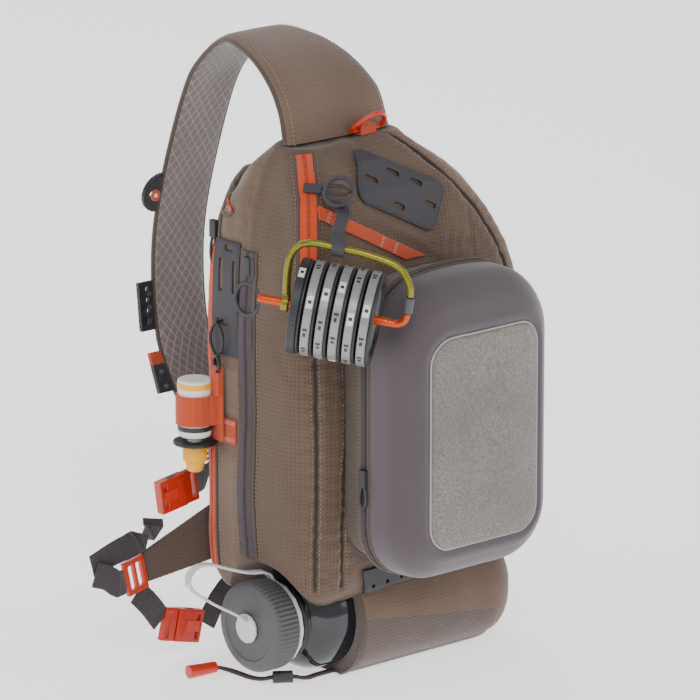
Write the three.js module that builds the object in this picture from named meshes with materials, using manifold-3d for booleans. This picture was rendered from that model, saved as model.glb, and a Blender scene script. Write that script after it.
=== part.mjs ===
// Fishing tackle sling bag: a one-shoulder bag that stands on the sleeve of its water bottle.
// Units are millimetres. +Z is up, the tackle case faces -Y and the wearer's back is at +Y.
// The origin is on the ground, under the bag, on the flat bottom of the bottle sleeve.

import * as THREE from 'three';
import { mergeVertices } from 'three/addons/utils/BufferGeometryUtils.js';
import Module from 'manifold-3d';

const wasm = await Module();
wasm.setup();

// Clearances
const GAP = 0.3;
const RUNNING_GAP = 0.6;

// Materials of the cloth parts
const CLOTH = 2.5;
const WEBBING_WIDTH = 20;
const WEBBING_THICKNESS = 1.6;
const RUBBER = 2;

// Bag body: reaches are measured from the Z axis, heights from the ground
const BODY = {
  bottom: 66, height: 361, left: 112, right: 131, front: 60, back: 70,
  frontCorner: 22, backCorner: 24, split: 16,
};
const BODY_TOP = BODY.bottom + BODY.height;

// Sections of the body, from the bottom up, as shares of its height and reaches
const BODY_SECTIONS = [
  { height: 0.00, left: 0.94, right: 0.82, front: 0.86, back: 0.86 },
  { height: 0.03, left: 0.98, right: 0.88, front: 0.97, back: 0.95 },
  { height: 0.12, left: 1.00, right: 0.92, front: 1.00, back: 0.99 },
  { height: 0.30, left: 1.00, right: 0.98, front: 1.00, back: 1.00 },
  { height: 0.47, left: 1.00, right: 1.00, front: 1.00, back: 1.00 },
  { height: 0.62, left: 1.00, right: 0.97, front: 1.00, back: 0.99 },
  { height: 0.72, left: 0.995, right: 0.87, front: 1.00, back: 0.94 },
  { height: 0.82, left: 0.97, right: 0.69, front: 0.97, back: 0.83 },
  { height: 0.90, left: 0.93, right: 0.49, front: 0.88, back: 0.67 },
  { height: 0.96, left: 0.85, right: 0.33, front: 0.66, back: 0.46 },
  { height: 1.00, left: 0.74, right: 0.22, front: 0.36, back: 0.28 },
];

// Zippers on the left side: places along Y and heights from the ground
const ZIP = { width: 11, thickness: 2, slotGap: 0.4 };
const MAIN_ZIP = { y: 55, bottom: BODY.bottom + 16, top: BODY_TOP - 39 };
const MID_ZIP = { y: 7, bottom: BODY.bottom + 34, top: BODY_TOP - 83 };
const TOP_ZIP = { width: 9, bottom: BODY_TOP - 152, top: BODY_TOP - 3, steps: 11 };

// Padded back panel
const BACK_PANEL = { thickness: 8, margin: 14, bottom: BODY.bottom + 18, top: BODY_TOP - 23 };

// Shoulder strap
const STRAP = {
  centre: -27.5, reach: 192, crest: BODY_TOP + 68, width: 54, rootWidth: 108, endWidth: 30,
  thickness: 9, rootThickness: 13, stations: 26,
};
// Run of the strap from its root over the shoulder, as shares of its reach and crest height
const STRAP_RUN = [
  { back: 0.000, height: 0.868, flare: 1.00 },
  { back: 0.055, height: 0.921, flare: 0.93 },
  { back: 0.190, height: 0.966, flare: 0.70 },
  { back: 0.360, height: 0.990, flare: 0.42 },
  { back: 0.520, height: 0.991, flare: 0.18 },
  { back: 0.690, height: 0.945, flare: 0.05 },
  { back: 0.790, height: 0.889, flare: 0.00 },
  { back: 0.906, height: 0.770, flare: 0.00 },
  { back: 0.984, height: 0.657, flare: 0.00 },
  { back: 1.000, height: 0.560, flare: 0.00 },
  { back: 0.970, height: 0.465, flare: 0.00 },
  { back: 0.905, height: 0.390, flare: -0.35 },
  { back: 0.810, height: 0.315, flare: -1.00 },
];

// Tackle case: a padded base on the body and a domed lid, joined by a zipper all round
const CASE = {
  left: 81, right: 85, bottom: BODY.bottom + 28, top: BODY_TOP - 105, crown: 13, corner: 46,
  wall: 2.5, baseDraft: 7, baseDepth: 30, zipDepth: 7, lidDepth: 42, lidEdge: 22, arc: 5,
};
// Lid rounding from its rim forward, as shares of the lid's depth and of its edge width
const LID_SECTIONS = [
  { depth: 0.00, inset: 0.00 },
  { depth: 0.42, inset: 0.03 },
  { depth: 0.62, inset: 0.20 },
  { depth: 0.79, inset: 0.55 },
  { depth: 0.90, inset: 1.00 },
  { depth: 0.97, inset: 1.80 },
  { depth: 1.00, inset: 3.20 },
];
const PATCH = {
  left: 51, right: 61, bottom: CASE.bottom + 28, top: CASE.top - 32, corner: 20, thickness: 1.2,
};

// Rubber patches, webbing and the ring on the body; angles are in degrees
const SIDE_PATCH = { low: 18, high: 50, bottom: BODY_TOP - 169, top: BODY_TOP - 77, slot: 4, tallSlot: 26 };
const SIDE_PATCH_SLOTS = [
  { along: 0.06, from: 0.25, to: 0.55, height: SIDE_PATCH.slot },
  { along: 0.30, from: 0.12, to: 0.24, height: SIDE_PATCH.tallSlot },
  { along: 0.30, from: 0.60, to: 0.74, height: SIDE_PATCH.tallSlot },
  { along: 0.71, from: 0.40, to: 0.84, height: SIDE_PATCH.slot },
];
const TOP_PATCH = { x: -8, z: BODY_TOP - 39, width: 84, height: 40, turn: -27, corner: 8 };
const TOP_PATCH_SLOT = { width: 12, height: 3.6, corner: 1.5 };
const TOP_PATCH_SLOTS = [[-0.36, 0], [0.36, 0], [-0.12, 0.3], [0.14, 0.3], [0, -0.28]];
const ACCENT = { x: -42, z: BODY_TOP - 69, width: 118, height: 10, turn: -28 };
const SIDE_LOOP = { low: 22, high: 38, bottom: SIDE_PATCH.bottom - 71, top: SIDE_PATCH.bottom - 51 };
const D_RING = { x: -8, y: -12.5, wire: 2.2, width: 30, height: 21 };

// Water bottle, lying along X under the body
const BOTTLE = {
  y: -8, radius: 44.5, base: 89, shoulder: -88, neckRadius: 29, neckEnd: -104, wall: 2,
  capRadius: 36.5, capEnd: -128, capWall: 2.5,
};
const SLEEVE = {
  wall: 2.4, slack: 0.4, hem: -55, end: 125, endLength: 42, bulge: 3.5, squareness: 0.6, footShare: 0.93,
  sides: 24,
};
const BOTTLE_Z = BOTTLE.radius + SLEEVE.wall + SLEEVE.slack;

// Spool holder: the bar runs across the view of the front left corner and tips down
const HOLDER = {
  x: -125, y: -106, z: BODY_TOP - 105, turn: -50, tip: 9, wire: 3.2, bar: 3.6, barLeft: -59, barRight: 44,
  width: 92, height: 50,
};
const SPOOL = { count: 6, radius: 37, width: 9.4, pitch: 10.9, first: -25.5, web: 5, rim: 8 };

// Waist belt hardware; the bars' slots are measured from each end of a buckle
const BUCKLE = {
  width: 27, thickness: 8, socket: 26, base: 13, prong: 14, edge: 3, slotEnd: 6.5, prongHalf: 4,
  mouthHalf: 6,
};

const LOCK = { length: 21, height: 29, bar: 3, edge: 4, thickness: 4 };
const WING = { bottom: 80, top: 126, thickness: 3 };
const TAIL_LAYERS = 2;

// Zip pulls: a slider and a cord loop, and how far each hangs below its zipper's top
const PULL = { half: 3.5, length: 12, height: 4.5, ringAt: 9, cord: 1.4, cordHalf: 3 };
const PULL_LENGTH = { main: 26, mid: 34, top: 26, case: 20 };
const PULL_DROP = { main: 28, mid: 4, top: 22 };
const CASE_PULL_HEIGHT = 90;

// Loop strap of the bottle, drawcord, clip, small bottle, holster and perforated strips
const LOOP = { width: 8, thickness: 2.2, ringFrom: -102.5, ringTo: -98.6, disc: 12 };
const CORD = { radius: 1.3, apart: 3.2, slack: 0.5 };
const CLIP = {
  x: -BODY.left - 7, y: 38, wire: 1.5, top: SIDE_PATCH.bottom + 27, bottom: SIDE_PATCH.bottom - 1, ring: 7,
};
const VIAL = {
  x: -BODY.left - 17, y: 53, radius: 13.5, bottom: CLIP.bottom - 67, top: CLIP.bottom - 19,
  neck: 6, neckLength: 14, capRadius: 9.5, capBottom: CLIP.bottom - 94,
};
const HOLSTER = {
  band: 1.6, low: VIAL.bottom + 12, high: VIAL.bottom + 36, flange: 17.5, flangeThickness: 2.6,
};
const STRIP = { hole: 1.8 };

// Tabs along the strap, as shares of its run from the root
const TABS = {
  round: { share: 0.625, radius: 17, hole: 3, holeAt: 8 },
  plate: { share: 0.783, half: 20, reach: 15, slots: 4, slotPitch: 9 },
  end: { share: 0.9, low: 22, high: 12, reach: 14 },
  half: 2,
};

const RED = 0xd8381f;
const ORANGE = 0xe2562a;
const OLIVE = 0x8f8f36;
const BROWN = 0x7b6a5d;
const TAN = 0x85705f;
const MAUVE = 0x6a6063;
const GREY_RUBBER = 0x55565b;
const BLACK = 0x1d1d1f;

const group = new THREE.Group();

function vector(x, y, z) {
  return new THREE.Vector3(x, y, z);
}

// Solid from closed arrays of points and triangles, with its faces turned outward
const LEFT = vector(-1, 0, 0);
const UP = vector(0, 0, 1);
const DOWN = vector(0, 0, -1);

function outward(positions, triangles) {
  const corner = (index) => vector(...positions.slice(3 * index, 3 * index + 3));
  let volume = 0;
  for (let t = 0; t < triangles.length; t += 3) {
    const [a, b, c] = [0, 1, 2].map((k) => corner(triangles[t + k]));
    volume += a.dot(b.cross(c));
  }
  const turnedTriangles = new Uint32Array(triangles);
  if (volume < 0) {
    turnedTriangles.reverse();
  }
  return new wasm.Manifold(new wasm.Mesh({
    numProp: 3,
    vertProperties: new Float32Array(positions),
    triVerts: turnedTriangles,
  }));
}

// Closed solid from a three.js geometry
function solid(geometry) {
  const plain = geometry.clone();
  plain.deleteAttribute('normal');
  plain.deleteAttribute('uv');
  const merged = mergeVertices(plain, 1e-4);
  return outward(merged.attributes.position.array, merged.index.array);
}

// Geometry of a solid
function geometryOf(body) {
  const mesh = body.getMesh();
  const geometry = new THREE.BufferGeometry();
  geometry.setAttribute('position', new THREE.BufferAttribute(new Float32Array(mesh.vertProperties), 3));
  geometry.setIndex(new THREE.BufferAttribute(new Uint32Array(mesh.triVerts), 1));
  geometry.computeVertexNormals();
  return geometry;
}

// Adds one named piece to the bag
function piece(name, body, color, roughness = 0.9, metalness = 0) {
  const material = new THREE.MeshStandardMaterial({ color, roughness, metalness });
  const mesh = new THREE.Mesh(geometryOf(body), material);
  mesh.name = name;
  group.add(mesh);
  return body;
}

// Solid through closed rings of points, all with the same count, with flat ends
function loft(rings) {
  const count = rings[0].length;
  const positions = [];
  const triangles = [];
  for (const ring of rings) {
    for (const point of ring) {
      positions.push(point.x, point.y, point.z);
    }
  }
  for (let r = 0; r < rings.length - 1; r += 1) {
    for (let i = 0; i < count; i += 1) {
      const a = r * count + i;
      const b = r * count + ((i + 1) % count);
      triangles.push(a, b, b + count, a, b + count, a + count);
    }
  }
  const last = (rings.length - 1) * count;
  const first = positions.length / 3;
  for (const ring of [rings[0], rings[rings.length - 1]]) {
    const centre = ring.reduce((sum, point) => sum.add(point), vector(0, 0, 0)).divideScalar(count);
    positions.push(centre.x, centre.y, centre.z);
  }
  for (let i = 0; i < count; i += 1) {
    const next = (i + 1) % count;
    triangles.push(first, next, i, first + 1, last + i, last + next);
  }
  return outward(positions, triangles);
}

// Box between two corners
function box(low, high) {
  const size = high.map((value, axis) => value - low[axis]);
  const middle = high.map((value, axis) => (value + low[axis]) / 2);
  return solid(new THREE.BoxGeometry(...size).translate(...middle));
}

// Round bar between two points
function rod(from, to, radius, sides = 16, farRadius = radius) {
  const axis = to.clone().sub(from);
  const geometry = new THREE.CylinderGeometry(farRadius, radius, axis.length(), sides);
  const turn = new THREE.Quaternion().setFromUnitVectors(vector(0, 1, 0), axis.clone().normalize());
  geometry.applyQuaternion(turn);
  const middle = from.clone().add(to).divideScalar(2);
  return solid(geometry.translate(middle.x, middle.y, middle.z));
}

// Regular section of a tube
function roundSection(radius, sides) {
  const shape = new THREE.Shape();
  for (let i = 0; i < sides; i += 1) {
    const angle = (2 * Math.PI * i) / sides;
    shape[i === 0 ? 'moveTo' : 'lineTo'](radius * Math.cos(angle), radius * Math.sin(angle));
  }
  shape.closePath();
  return shape;
}

// Tube along a curve
function tube(points, radius, sides, steps, closed = false) {
  const curve = new THREE.CatmullRomCurve3(points, closed, 'centripetal');
  const geometry = new THREE.ExtrudeGeometry(roundSection(radius, sides), {
    steps, extrudePath: curve, bevelEnabled: false, curveSegments: 1,
  });
  return solid(geometry);
}

// Flat band along points; the width directions may turn from one end to the other
function ribbon(points, width, thickness, across, acrossEnd = across, steps = (points.length - 1) * 3) {
  const curve = new THREE.CatmullRomCurve3(points, false, 'centripetal');
  const rings = [];
  for (let i = 0; i <= steps; i += 1) {
    const t = i / steps;
    const centre = curve.getPointAt(t);
    const tangent = curve.getTangentAt(t);
    const side = across.clone().lerp(acrossEnd, t);
    side.addScaledVector(tangent, -side.dot(tangent)).normalize();
    const normal = tangent.clone().cross(side);
    rings.push([[-1, -1], [1, -1], [1, 1], [-1, 1]].map(([a, b]) => centre.clone()
      .addScaledVector(side, (a * width) / 2)
      .addScaledVector(normal, (b * thickness) / 2)));
  }
  return loft(rings);
}

// Prism over an outline in the XZ plane, between two places along Y
function prism(outline, fromY, toY) {
  return loft([fromY, toY].map((y) => outline.map(([x, z]) => vector(x, y, z))));
}

// Value of one column at a share of the height, between the rows of a table
function between(rows, key, share, column) {
  const upper = Math.max(1, rows.findIndex((row) => row[key] >= share));
  const index = rows[rows.length - 1][key] < share ? rows.length - 1 : upper;
  const [a, b] = [rows[index - 1], rows[index]];
  const t = Math.min(1, Math.max(0, (share - a[key]) / (b[key] - a[key])));
  return a[column] + (b[column] - a[column]) * t;
}

// Reaches of the body at a share of its height
function bodyReach(share) {
  return {
    left: -BODY.left * between(BODY_SECTIONS, 'height', share, 'left'),
    right: BODY.right * between(BODY_SECTIONS, 'height', share, 'right'),
    front: -BODY.front * between(BODY_SECTIONS, 'height', share, 'front'),
    back: BODY.back * between(BODY_SECTIONS, 'height', share, 'back'),
  };
}

// Rectangle with four rounded corners as a ring of points, first corner at the low ends
function roundedRing(left, right, low, high, lowRadius, highRadius, arc, place) {
  const room = Math.min(right - left, high - low) / 2;
  const fitted = (radius) => Math.max(0.5, Math.min(radius, room * 0.98));
  const lowR = fitted(lowRadius);
  const highR = fitted(highRadius);
  const corners = [
    { x: left + lowR, y: low + lowR, radius: lowR, start: Math.PI },
    { x: right - lowR, y: low + lowR, radius: lowR, start: 1.5 * Math.PI },
    { x: right - highR, y: high - highR, radius: highR, start: 0 },
    { x: left + highR, y: high - highR, radius: highR, start: 0.5 * Math.PI },
  ];
  const ring = [];
  for (const corner of corners) {
    for (let i = 0; i <= arc; i += 1) {
      const angle = corner.start + (0.5 * Math.PI * i) / arc;
      const across = corner.x + corner.radius * Math.cos(angle);
      const along = corner.y + corner.radius * Math.sin(angle);
      ring.push(place(across, along));
    }
  }
  return ring;
}

// Outer form of the body, grown by a distance
function bodyForm(grow) {
  const rings = BODY_SECTIONS.map(({ height }) => {
    const reach = bodyReach(height);
    const z = BODY.bottom - grow + height * (BODY.height + 2 * grow);
    return roundedRing(
      reach.left - grow, reach.right + grow, reach.front - grow, reach.back + grow,
      BODY.frontCorner + grow, BODY.backCorner + grow, 4, (x, y) => vector(x, y, z),
    );
  });
  return loft(rings);
}

// Section of the bottle sleeve, round above and squarer below with a flat foot, at a place along X
function sleeveRing(x, scale, grow) {
  const outer = BOTTLE_Z;
  const ring = [];
  for (let i = 0; i < SLEEVE.sides; i += 1) {
    const angle = (2 * Math.PI * (i + 0.5)) / SLEEVE.sides;
    const [across, up] = [Math.cos(angle), Math.sin(angle)];
    const soft = up < 0 ? SLEEVE.squareness : 1;
    const y = Math.sign(across) * Math.abs(across) ** soft * (outer + SLEEVE.bulge * (1 - Math.abs(up)));
    const drop = Math.abs(up) ** soft;
    const z = Math.sign(up) * (up < 0 && drop > SLEEVE.footShare ? 1 : drop) * outer;
    const size = Math.hypot(y, z);
    const stretch = (size * scale + grow) / size;
    ring.push(vector(x, BOTTLE.y + y * stretch, BOTTLE_Z + z * stretch));
  }
  return ring;
}

// Sections of the sleeve's closed end, as shares of its end length and of its full size
const SLEEVE_END = [
  { along: 0.00, scale: 1.00 },
  { along: 0.45, scale: 0.97 },
  { along: 0.75, scale: 0.88 },
  { along: 0.93, scale: 0.72 },
  { along: 1.00, scale: 0.52 },
];

function sleeveForm(from, grow) {
  const start = SLEEVE.end - SLEEVE.endLength;
  const rings = [sleeveRing(from, 1, grow), sleeveRing((from + start) / 2, 1, grow)];
  for (const { along, scale } of SLEEVE_END) {
    rings.push(sleeveRing(start + along * (SLEEVE.endLength + grow), scale, grow));
  }
  return loft(rings);
}

// Outline of the tackle case at an inset, in the XZ plane
function caseRing(inset, y) {
  const ring = [];
  const middle = (CASE.right - CASE.left) / 2;
  const half = (CASE.right + CASE.left) / 2;
  const radius = Math.max(4, CASE.corner - inset);
  const lift = (x) => CASE.crown * Math.max(0, 1 - ((x - middle) / half) ** 2);
  const place = (x, z) => vector(x, y, z + (z > (CASE.top + CASE.bottom) / 2 ? lift(x) : 0));
  const plain = roundedRing(
    -CASE.left + inset, CASE.right - inset, CASE.bottom + inset, CASE.top - inset,
    radius, radius, CASE.arc, place,
  );
  plain.forEach((point, index) => {
    ring.push(point);
    if (index === 3 * CASE.arc + 2) {
      for (const share of [0.25, 0.5, 0.75]) {
        const run = CASE.left + CASE.right - 2 * inset - 2 * radius;
        const x = CASE.right - inset - radius - share * run;
        ring.push(place(x, CASE.top - inset));
      }
    }
  });
  return ring;
}

const CASE_FACE = -BODY.front - GAP;
const CASE_RIM = CASE_FACE - CASE.baseDepth;
const LID_RIM = CASE_RIM - CASE.zipDepth;

// Domed form of the lid, grown by a distance
function lidForm(grow) {
  return loft(LID_SECTIONS.map(({ depth, inset }) => caseRing(
    inset * CASE.lidEdge - grow, LID_RIM - GAP - depth * (CASE.lidDepth + grow),
  )));
}

// Bag body
const bodySeat = bodyForm(GAP);
const outerBody = bodyForm(0).subtract(sleeveForm(-BODY.left * 2, GAP));
const innerBody = bodyForm(-CLOTH).subtract(sleeveForm(-BODY.left * 2, GAP + CLOTH));
const far = 600;
const behind = box([-far, BODY.split, -far], [far, far, far]);
const before = box([-far, -far, -far], [far, BODY.split - GAP, far]);
const divider = box([-far, BODY.split, -far], [far, BODY.split + CLOTH, far]);

function sideSlot(zip, grow) {
  return box(
    [-far, zip.y - ZIP.width / 2 - grow, zip.bottom - grow],
    [-BODY.left / 2, zip.y + ZIP.width / 2 + grow, zip.top + grow],
  );
}

function cornerPoint(height, inward) {
  const reach = bodyReach((height - BODY.bottom) / BODY.height);
  const room = Math.min(BODY.frontCorner, (reach.back - reach.front) / 2);
  const set = room * (1 - Math.SQRT1_2) + inward * Math.SQRT1_2;
  return vector(reach.left + set, reach.front + set, height);
}

function topZipBand(width, thickness, over) {
  const points = [];
  for (let i = 0; i <= TOP_ZIP.steps; i += 1) {
    const height = TOP_ZIP.bottom - over + (i / TOP_ZIP.steps) * (TOP_ZIP.top - TOP_ZIP.bottom + 2 * over);
    points.push(cornerPoint(height, ZIP.thickness / 2));
  }
  return ribbon(points, width, thickness, vector(1, -1, 0), vector(1, -1, 0), TOP_ZIP.steps);
}

const mainCloth = outerBody.subtract(innerBody).add(outerBody.intersect(divider)).intersect(behind);
piece('main_compartment', mainCloth.subtract(sideSlot(MAIN_ZIP, ZIP.slotGap)), BROWN);
const frontCloth = outerBody.subtract(innerBody).intersect(before);
piece('front_compartment', frontCloth
  .subtract(sideSlot(MID_ZIP, ZIP.slotGap))
  .subtract(topZipBand(TOP_ZIP.width + 2 * ZIP.slotGap, 14, ZIP.slotGap)), TAN);

const zipSkin = bodyForm(-GAP)
  .subtract(bodyForm(-GAP - ZIP.thickness))
  .subtract(sleeveForm(-BODY.left * 2, GAP));
piece('main_zipper', zipSkin.intersect(sideSlot(MAIN_ZIP, 0)), ORANGE);
piece('mid_zipper', zipSkin.intersect(sideSlot(MID_ZIP, 0)), MAUVE);
piece('top_zipper', topZipBand(TOP_ZIP.width, ZIP.thickness, 0), ORANGE);

// Skin of the body between two distances from its surface
function bodySkin(from, thickness) {
  return bodyForm(from + thickness).subtract(bodyForm(from));
}

// Padded panel on the back, inset from the body's outline
const panelForm = loft(BODY_SECTIONS.map(({ height }) => {
  const reach = bodyReach(height);
  const low = Math.min(reach.back - BACK_PANEL.thickness, BODY.split * 1.5);
  return roundedRing(
    reach.left + BACK_PANEL.margin, reach.right - BACK_PANEL.margin, low, reach.back + BACK_PANEL.thickness,
    2, BACK_PANEL.thickness, 2, (x, y) => vector(x, y, BODY.bottom + height * BODY.height),
  );
}));
const panelArea = box([-far, -far, BACK_PANEL.bottom], [far, far, BACK_PANEL.top]);
piece('back_panel', panelForm.intersect(panelArea).subtract(bodySeat), MAUVE);

// Shoulder strap
function strapRing(point, tangent, width, thickness) {
  const normal = vector(0, -tangent.z, tangent.y);
  const soft = Math.min(width, thickness) * 0.3;
  return roundedRing(
    -width / 2, width / 2, -thickness / 2, thickness / 2, soft, soft, 1,
    (a, b) => vector(STRAP.centre + a, point.y, point.z).addScaledVector(normal, b),
  );
}

const strapPoints = STRAP_RUN.map(
  ({ back, height }) => vector(0, back * STRAP.reach, height * STRAP.crest),
);
strapPoints[0].z = BODY.bottom + BODY.height + GAP;
const strapCurve = new THREE.CatmullRomCurve3(strapPoints, false, 'centripetal');
function strapFlare(share) {
  const row = share * (STRAP_RUN.length - 1);
  const low = Math.min(Math.floor(row), STRAP_RUN.length - 2);
  return STRAP_RUN[low].flare + (STRAP_RUN[low + 1].flare - STRAP_RUN[low].flare) * (row - low);
}
function strapWidth(share) {
  const flare = strapFlare(share);
  return STRAP.width + Math.abs(flare) * ((flare >= 0 ? STRAP.rootWidth : STRAP.endWidth) - STRAP.width);
}
// Form of the strap, grown by a distance
function strapForm(grow) {
  const rings = [];
  for (let i = 0; i <= STRAP.stations; i += 1) {
    const share = i / STRAP.stations;
    const flare = strapFlare(share);
    const thickness = STRAP.thickness + Math.max(0, flare) * (STRAP.rootThickness - STRAP.thickness);
    const tangent = i === 0 ? vector(0, 0, 1) : strapCurve.getTangent(share);
    const width = strapWidth(share) + 2 * grow;
    rings.push(strapRing(strapCurve.getPoint(share), tangent, width, thickness + 2 * grow));
  }
  return loft(rings);
}
piece('shoulder_strap', strapForm(0), MAUVE);
const strapSeat = strapForm(GAP);

// Tackle case
const baseForm = (inset, from, to) => loft([
  caseRing(CASE.baseDraft + inset, from),
  caseRing(inset + CASE.baseDraft * 0.4, (from + to) / 2),
  caseRing(inset, to),
]);
const baseShell = baseForm(0, CASE_FACE, CASE_RIM)
  .subtract(baseForm(CASE.wall, CASE_FACE - CASE.wall, CASE_RIM - 1));
piece('case_base', baseShell, BROWN);
const zipRing = loft([caseRing(0, CASE_RIM - GAP), caseRing(0, LID_RIM)])
  .subtract(loft([caseRing(CASE.wall, CASE_RIM + 1), caseRing(CASE.wall, LID_RIM - 1)]));
piece('case_zipper', zipRing, MAUVE);
const lidHollow = loft(LID_SECTIONS.map(({ depth, inset }, index) => caseRing(
  inset * CASE.lidEdge + CASE.wall,
  index === 0 ? LID_RIM + 1 : LID_RIM - GAP - depth * (CASE.lidDepth - CASE.wall),
)));
piece('case_lid', lidForm(0).subtract(lidHollow), 0x6d6467, 0.75);

const patchOutline = roundedRing(
  -PATCH.left, PATCH.right, PATCH.bottom, PATCH.top, PATCH.corner, PATCH.corner, 4, (x, z) => [x, z],
);
piece('felt_patch', lidForm(GAP + PATCH.thickness).subtract(lidForm(GAP))
  .intersect(prism(patchOutline, LID_RIM - CASE.lidDepth * 0.8, -far)), 0x9a9c98, 1);

// Zip pulls: a slider with a cord loop
function pull(name, at, out, down, length) {
  const side = out.clone().cross(down).normalize();
  const slider = placed(
    box([-PULL.half, -2, 0], [PULL.half, PULL.length, PULL.height]), at, side, down, out,
  );
  const ringStart = at.clone().addScaledVector(down, PULL.ringAt).addScaledVector(out, 2.6);
  const w = PULL.cordHalf;
  const shape = [[0, 0], [w, 0.35], [w, 0.8], [0, 1], [-w, 0.8], [-w, 0.35]];
  const loop = shape.map(
    ([a, share]) => ringStart.clone().addScaledVector(side, a).addScaledVector(down, share * length),
  );
  const body = slider.add(tube(loop, PULL.cord, 6, 14, true)).subtract(bodySeat);
  return piece(name, body, BLACK, 0.6);
}

// Turns and moves a body so that its own axes lie along three directions
function placed(body, at, x, y, z) {
  const matrix = new THREE.Matrix4().makeBasis(x, y, z).setPosition(at);
  return body.transform(matrix.elements);
}

const onLeft = (y, z) => vector(bodyReach((z - BODY.bottom) / BODY.height).left - GAP, y, z);

const mainPullSpot = vector(-BODY.left * 0.93, MAIN_ZIP.y, MAIN_ZIP.top - PULL_DROP.main);
pull('main_zip_pull', mainPullSpot, LEFT, DOWN, PULL_LENGTH.main);
pull('mid_zip_pull', onLeft(MID_ZIP.y, MID_ZIP.top - PULL_DROP.mid), LEFT, DOWN, PULL_LENGTH.mid);
const topPullSpot = cornerPoint(TOP_ZIP.top - PULL_DROP.top, -2);
const topPullOut = vector(-0.7, -0.5, 0.5).normalize();
const topPullDown = vector(0.55, -0.8, -0.03).normalize();
pull('top_zip_pull', topPullSpot, topPullOut, topPullDown, PULL_LENGTH.top);
const casePullSpot = vector(
  -CASE.left - GAP, CASE_RIM - CASE.zipDepth / 2, CASE.bottom + CASE_PULL_HEIGHT,
);
pull('case_zip_pull', casePullSpot, LEFT, DOWN, PULL_LENGTH.case);

// Rubber lash patches, pierced by slots
let sidePatch = bodySkin(GAP, RUBBER).intersect(box(
  [-far, SIDE_PATCH.low, SIDE_PATCH.bottom], [-BODY.left / 2, SIDE_PATCH.high, SIDE_PATCH.top],
));
for (const { along, from, to, height } of SIDE_PATCH_SLOTS) {
  const z = SIDE_PATCH.top - along * (SIDE_PATCH.top - SIDE_PATCH.bottom);
  const width = SIDE_PATCH.high - SIDE_PATCH.low;
  sidePatch = sidePatch.subtract(box(
    [-far, SIDE_PATCH.low + from * width, z - height / 2],
    [-BODY.left / 2, SIDE_PATCH.low + to * width, z + height / 2],
  ));
}
piece('side_patch', sidePatch, GREY_RUBBER, 0.8);

function turned(centre, turn, x, z) {
  const angle = THREE.MathUtils.degToRad(turn);
  const [cosine, sine] = [Math.cos(angle), Math.sin(angle)];
  return [centre.x + x * cosine - z * sine, centre.z + x * sine + z * cosine];
}
const onTopPatch = (x, z) => turned(TOP_PATCH, TOP_PATCH.turn, x, z);
const topOutline = (w, h, cx = 0, cz = 0, r = TOP_PATCH.corner) => roundedRing(
  cx - w / 2, cx + w / 2, cz - h / 2, cz + h / 2, r, r, 2, onTopPatch,
);
const topPatchArea = prism(topOutline(TOP_PATCH.width, TOP_PATCH.height), -far, -5);
let topPatch = bodySkin(GAP, RUBBER).intersect(topPatchArea);
for (const [u, v] of TOP_PATCH_SLOTS) {
  topPatch = topPatch.subtract(prism(
    topOutline(
      TOP_PATCH_SLOT.width, TOP_PATCH_SLOT.height,
      u * TOP_PATCH.width, v * TOP_PATCH.height, TOP_PATCH_SLOT.corner,
    ), -far, 0,
  ));
}
piece('top_patch', topPatch, GREY_RUBBER, 0.8);

// Orange webbing across the front
const accentOutline = [[-0.5, -0.5], [0.5, -0.5], [0.5, 0.5], [-0.5, 0.5]]
  .map(([u, v]) => turned(ACCENT, ACCENT.turn, u * ACCENT.width, v * ACCENT.height));
const accent = bodySkin(GAP, WEBBING_THICKNESS).intersect(prism(accentOutline, -far, -5))
  .subtract(topZipBand(TOP_ZIP.width + 2, 20, 2))
  .subtract(loft([caseRing(-GAP, 0), caseRing(-GAP, CASE_RIM)]));
const accentRight = box([cornerPoint(ACCENT.z, 0).x + TOP_ZIP.width, -far, -far], [far, far, far]);
piece('accent_webbing', accent.intersect(accentRight), ORANGE, 0.85);

// Webbing loop low on the left side
piece('side_webbing_loop', bodySkin(GAP, WEBBING_THICKNESS).intersect(box(
  [-far, SIDE_LOOP.low, SIDE_LOOP.bottom], [-BODY.left / 2, SIDE_LOOP.high, SIDE_LOOP.top],
)), ORANGE, 0.85);

// Ring on the top, in front of the strap's root
const ringFoot = BODY_TOP + WEBBING_THICKNESS + D_RING.wire + GAP * 2;
const dRingPath = [[-0.5, 0], [0, 0], [0.5, 0], [0.46, 0.5], [0, 1], [-0.46, 0.5]].map(([u, v]) => vector(
  D_RING.x + u * D_RING.width, D_RING.y - v * D_RING.height * 0.7, ringFoot + v * D_RING.height * 0.7,
));
piece('d_ring', tube(dRingPath, D_RING.wire, 7, 18, true), RED, 0.35);
const ringHold = box(
  [D_RING.x - 8, D_RING.y - 4, BODY_TOP + GAP],
  [D_RING.x + 8, D_RING.y + 7, ringFoot + D_RING.wire + WEBBING_THICKNESS + GAP],
);
const ringRoom = tube(dRingPath, D_RING.wire + GAP * 2, 7, 18, true);
piece('d_ring_webbing', ringHold.subtract(ringRoom).subtract(strapSpace()), GREY_RUBBER, 0.85);

function strapSpace() {
  return box([-far, -STRAP.rootThickness / 2 - GAP, BODY_TOP], [far, far, far]);
}

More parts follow.
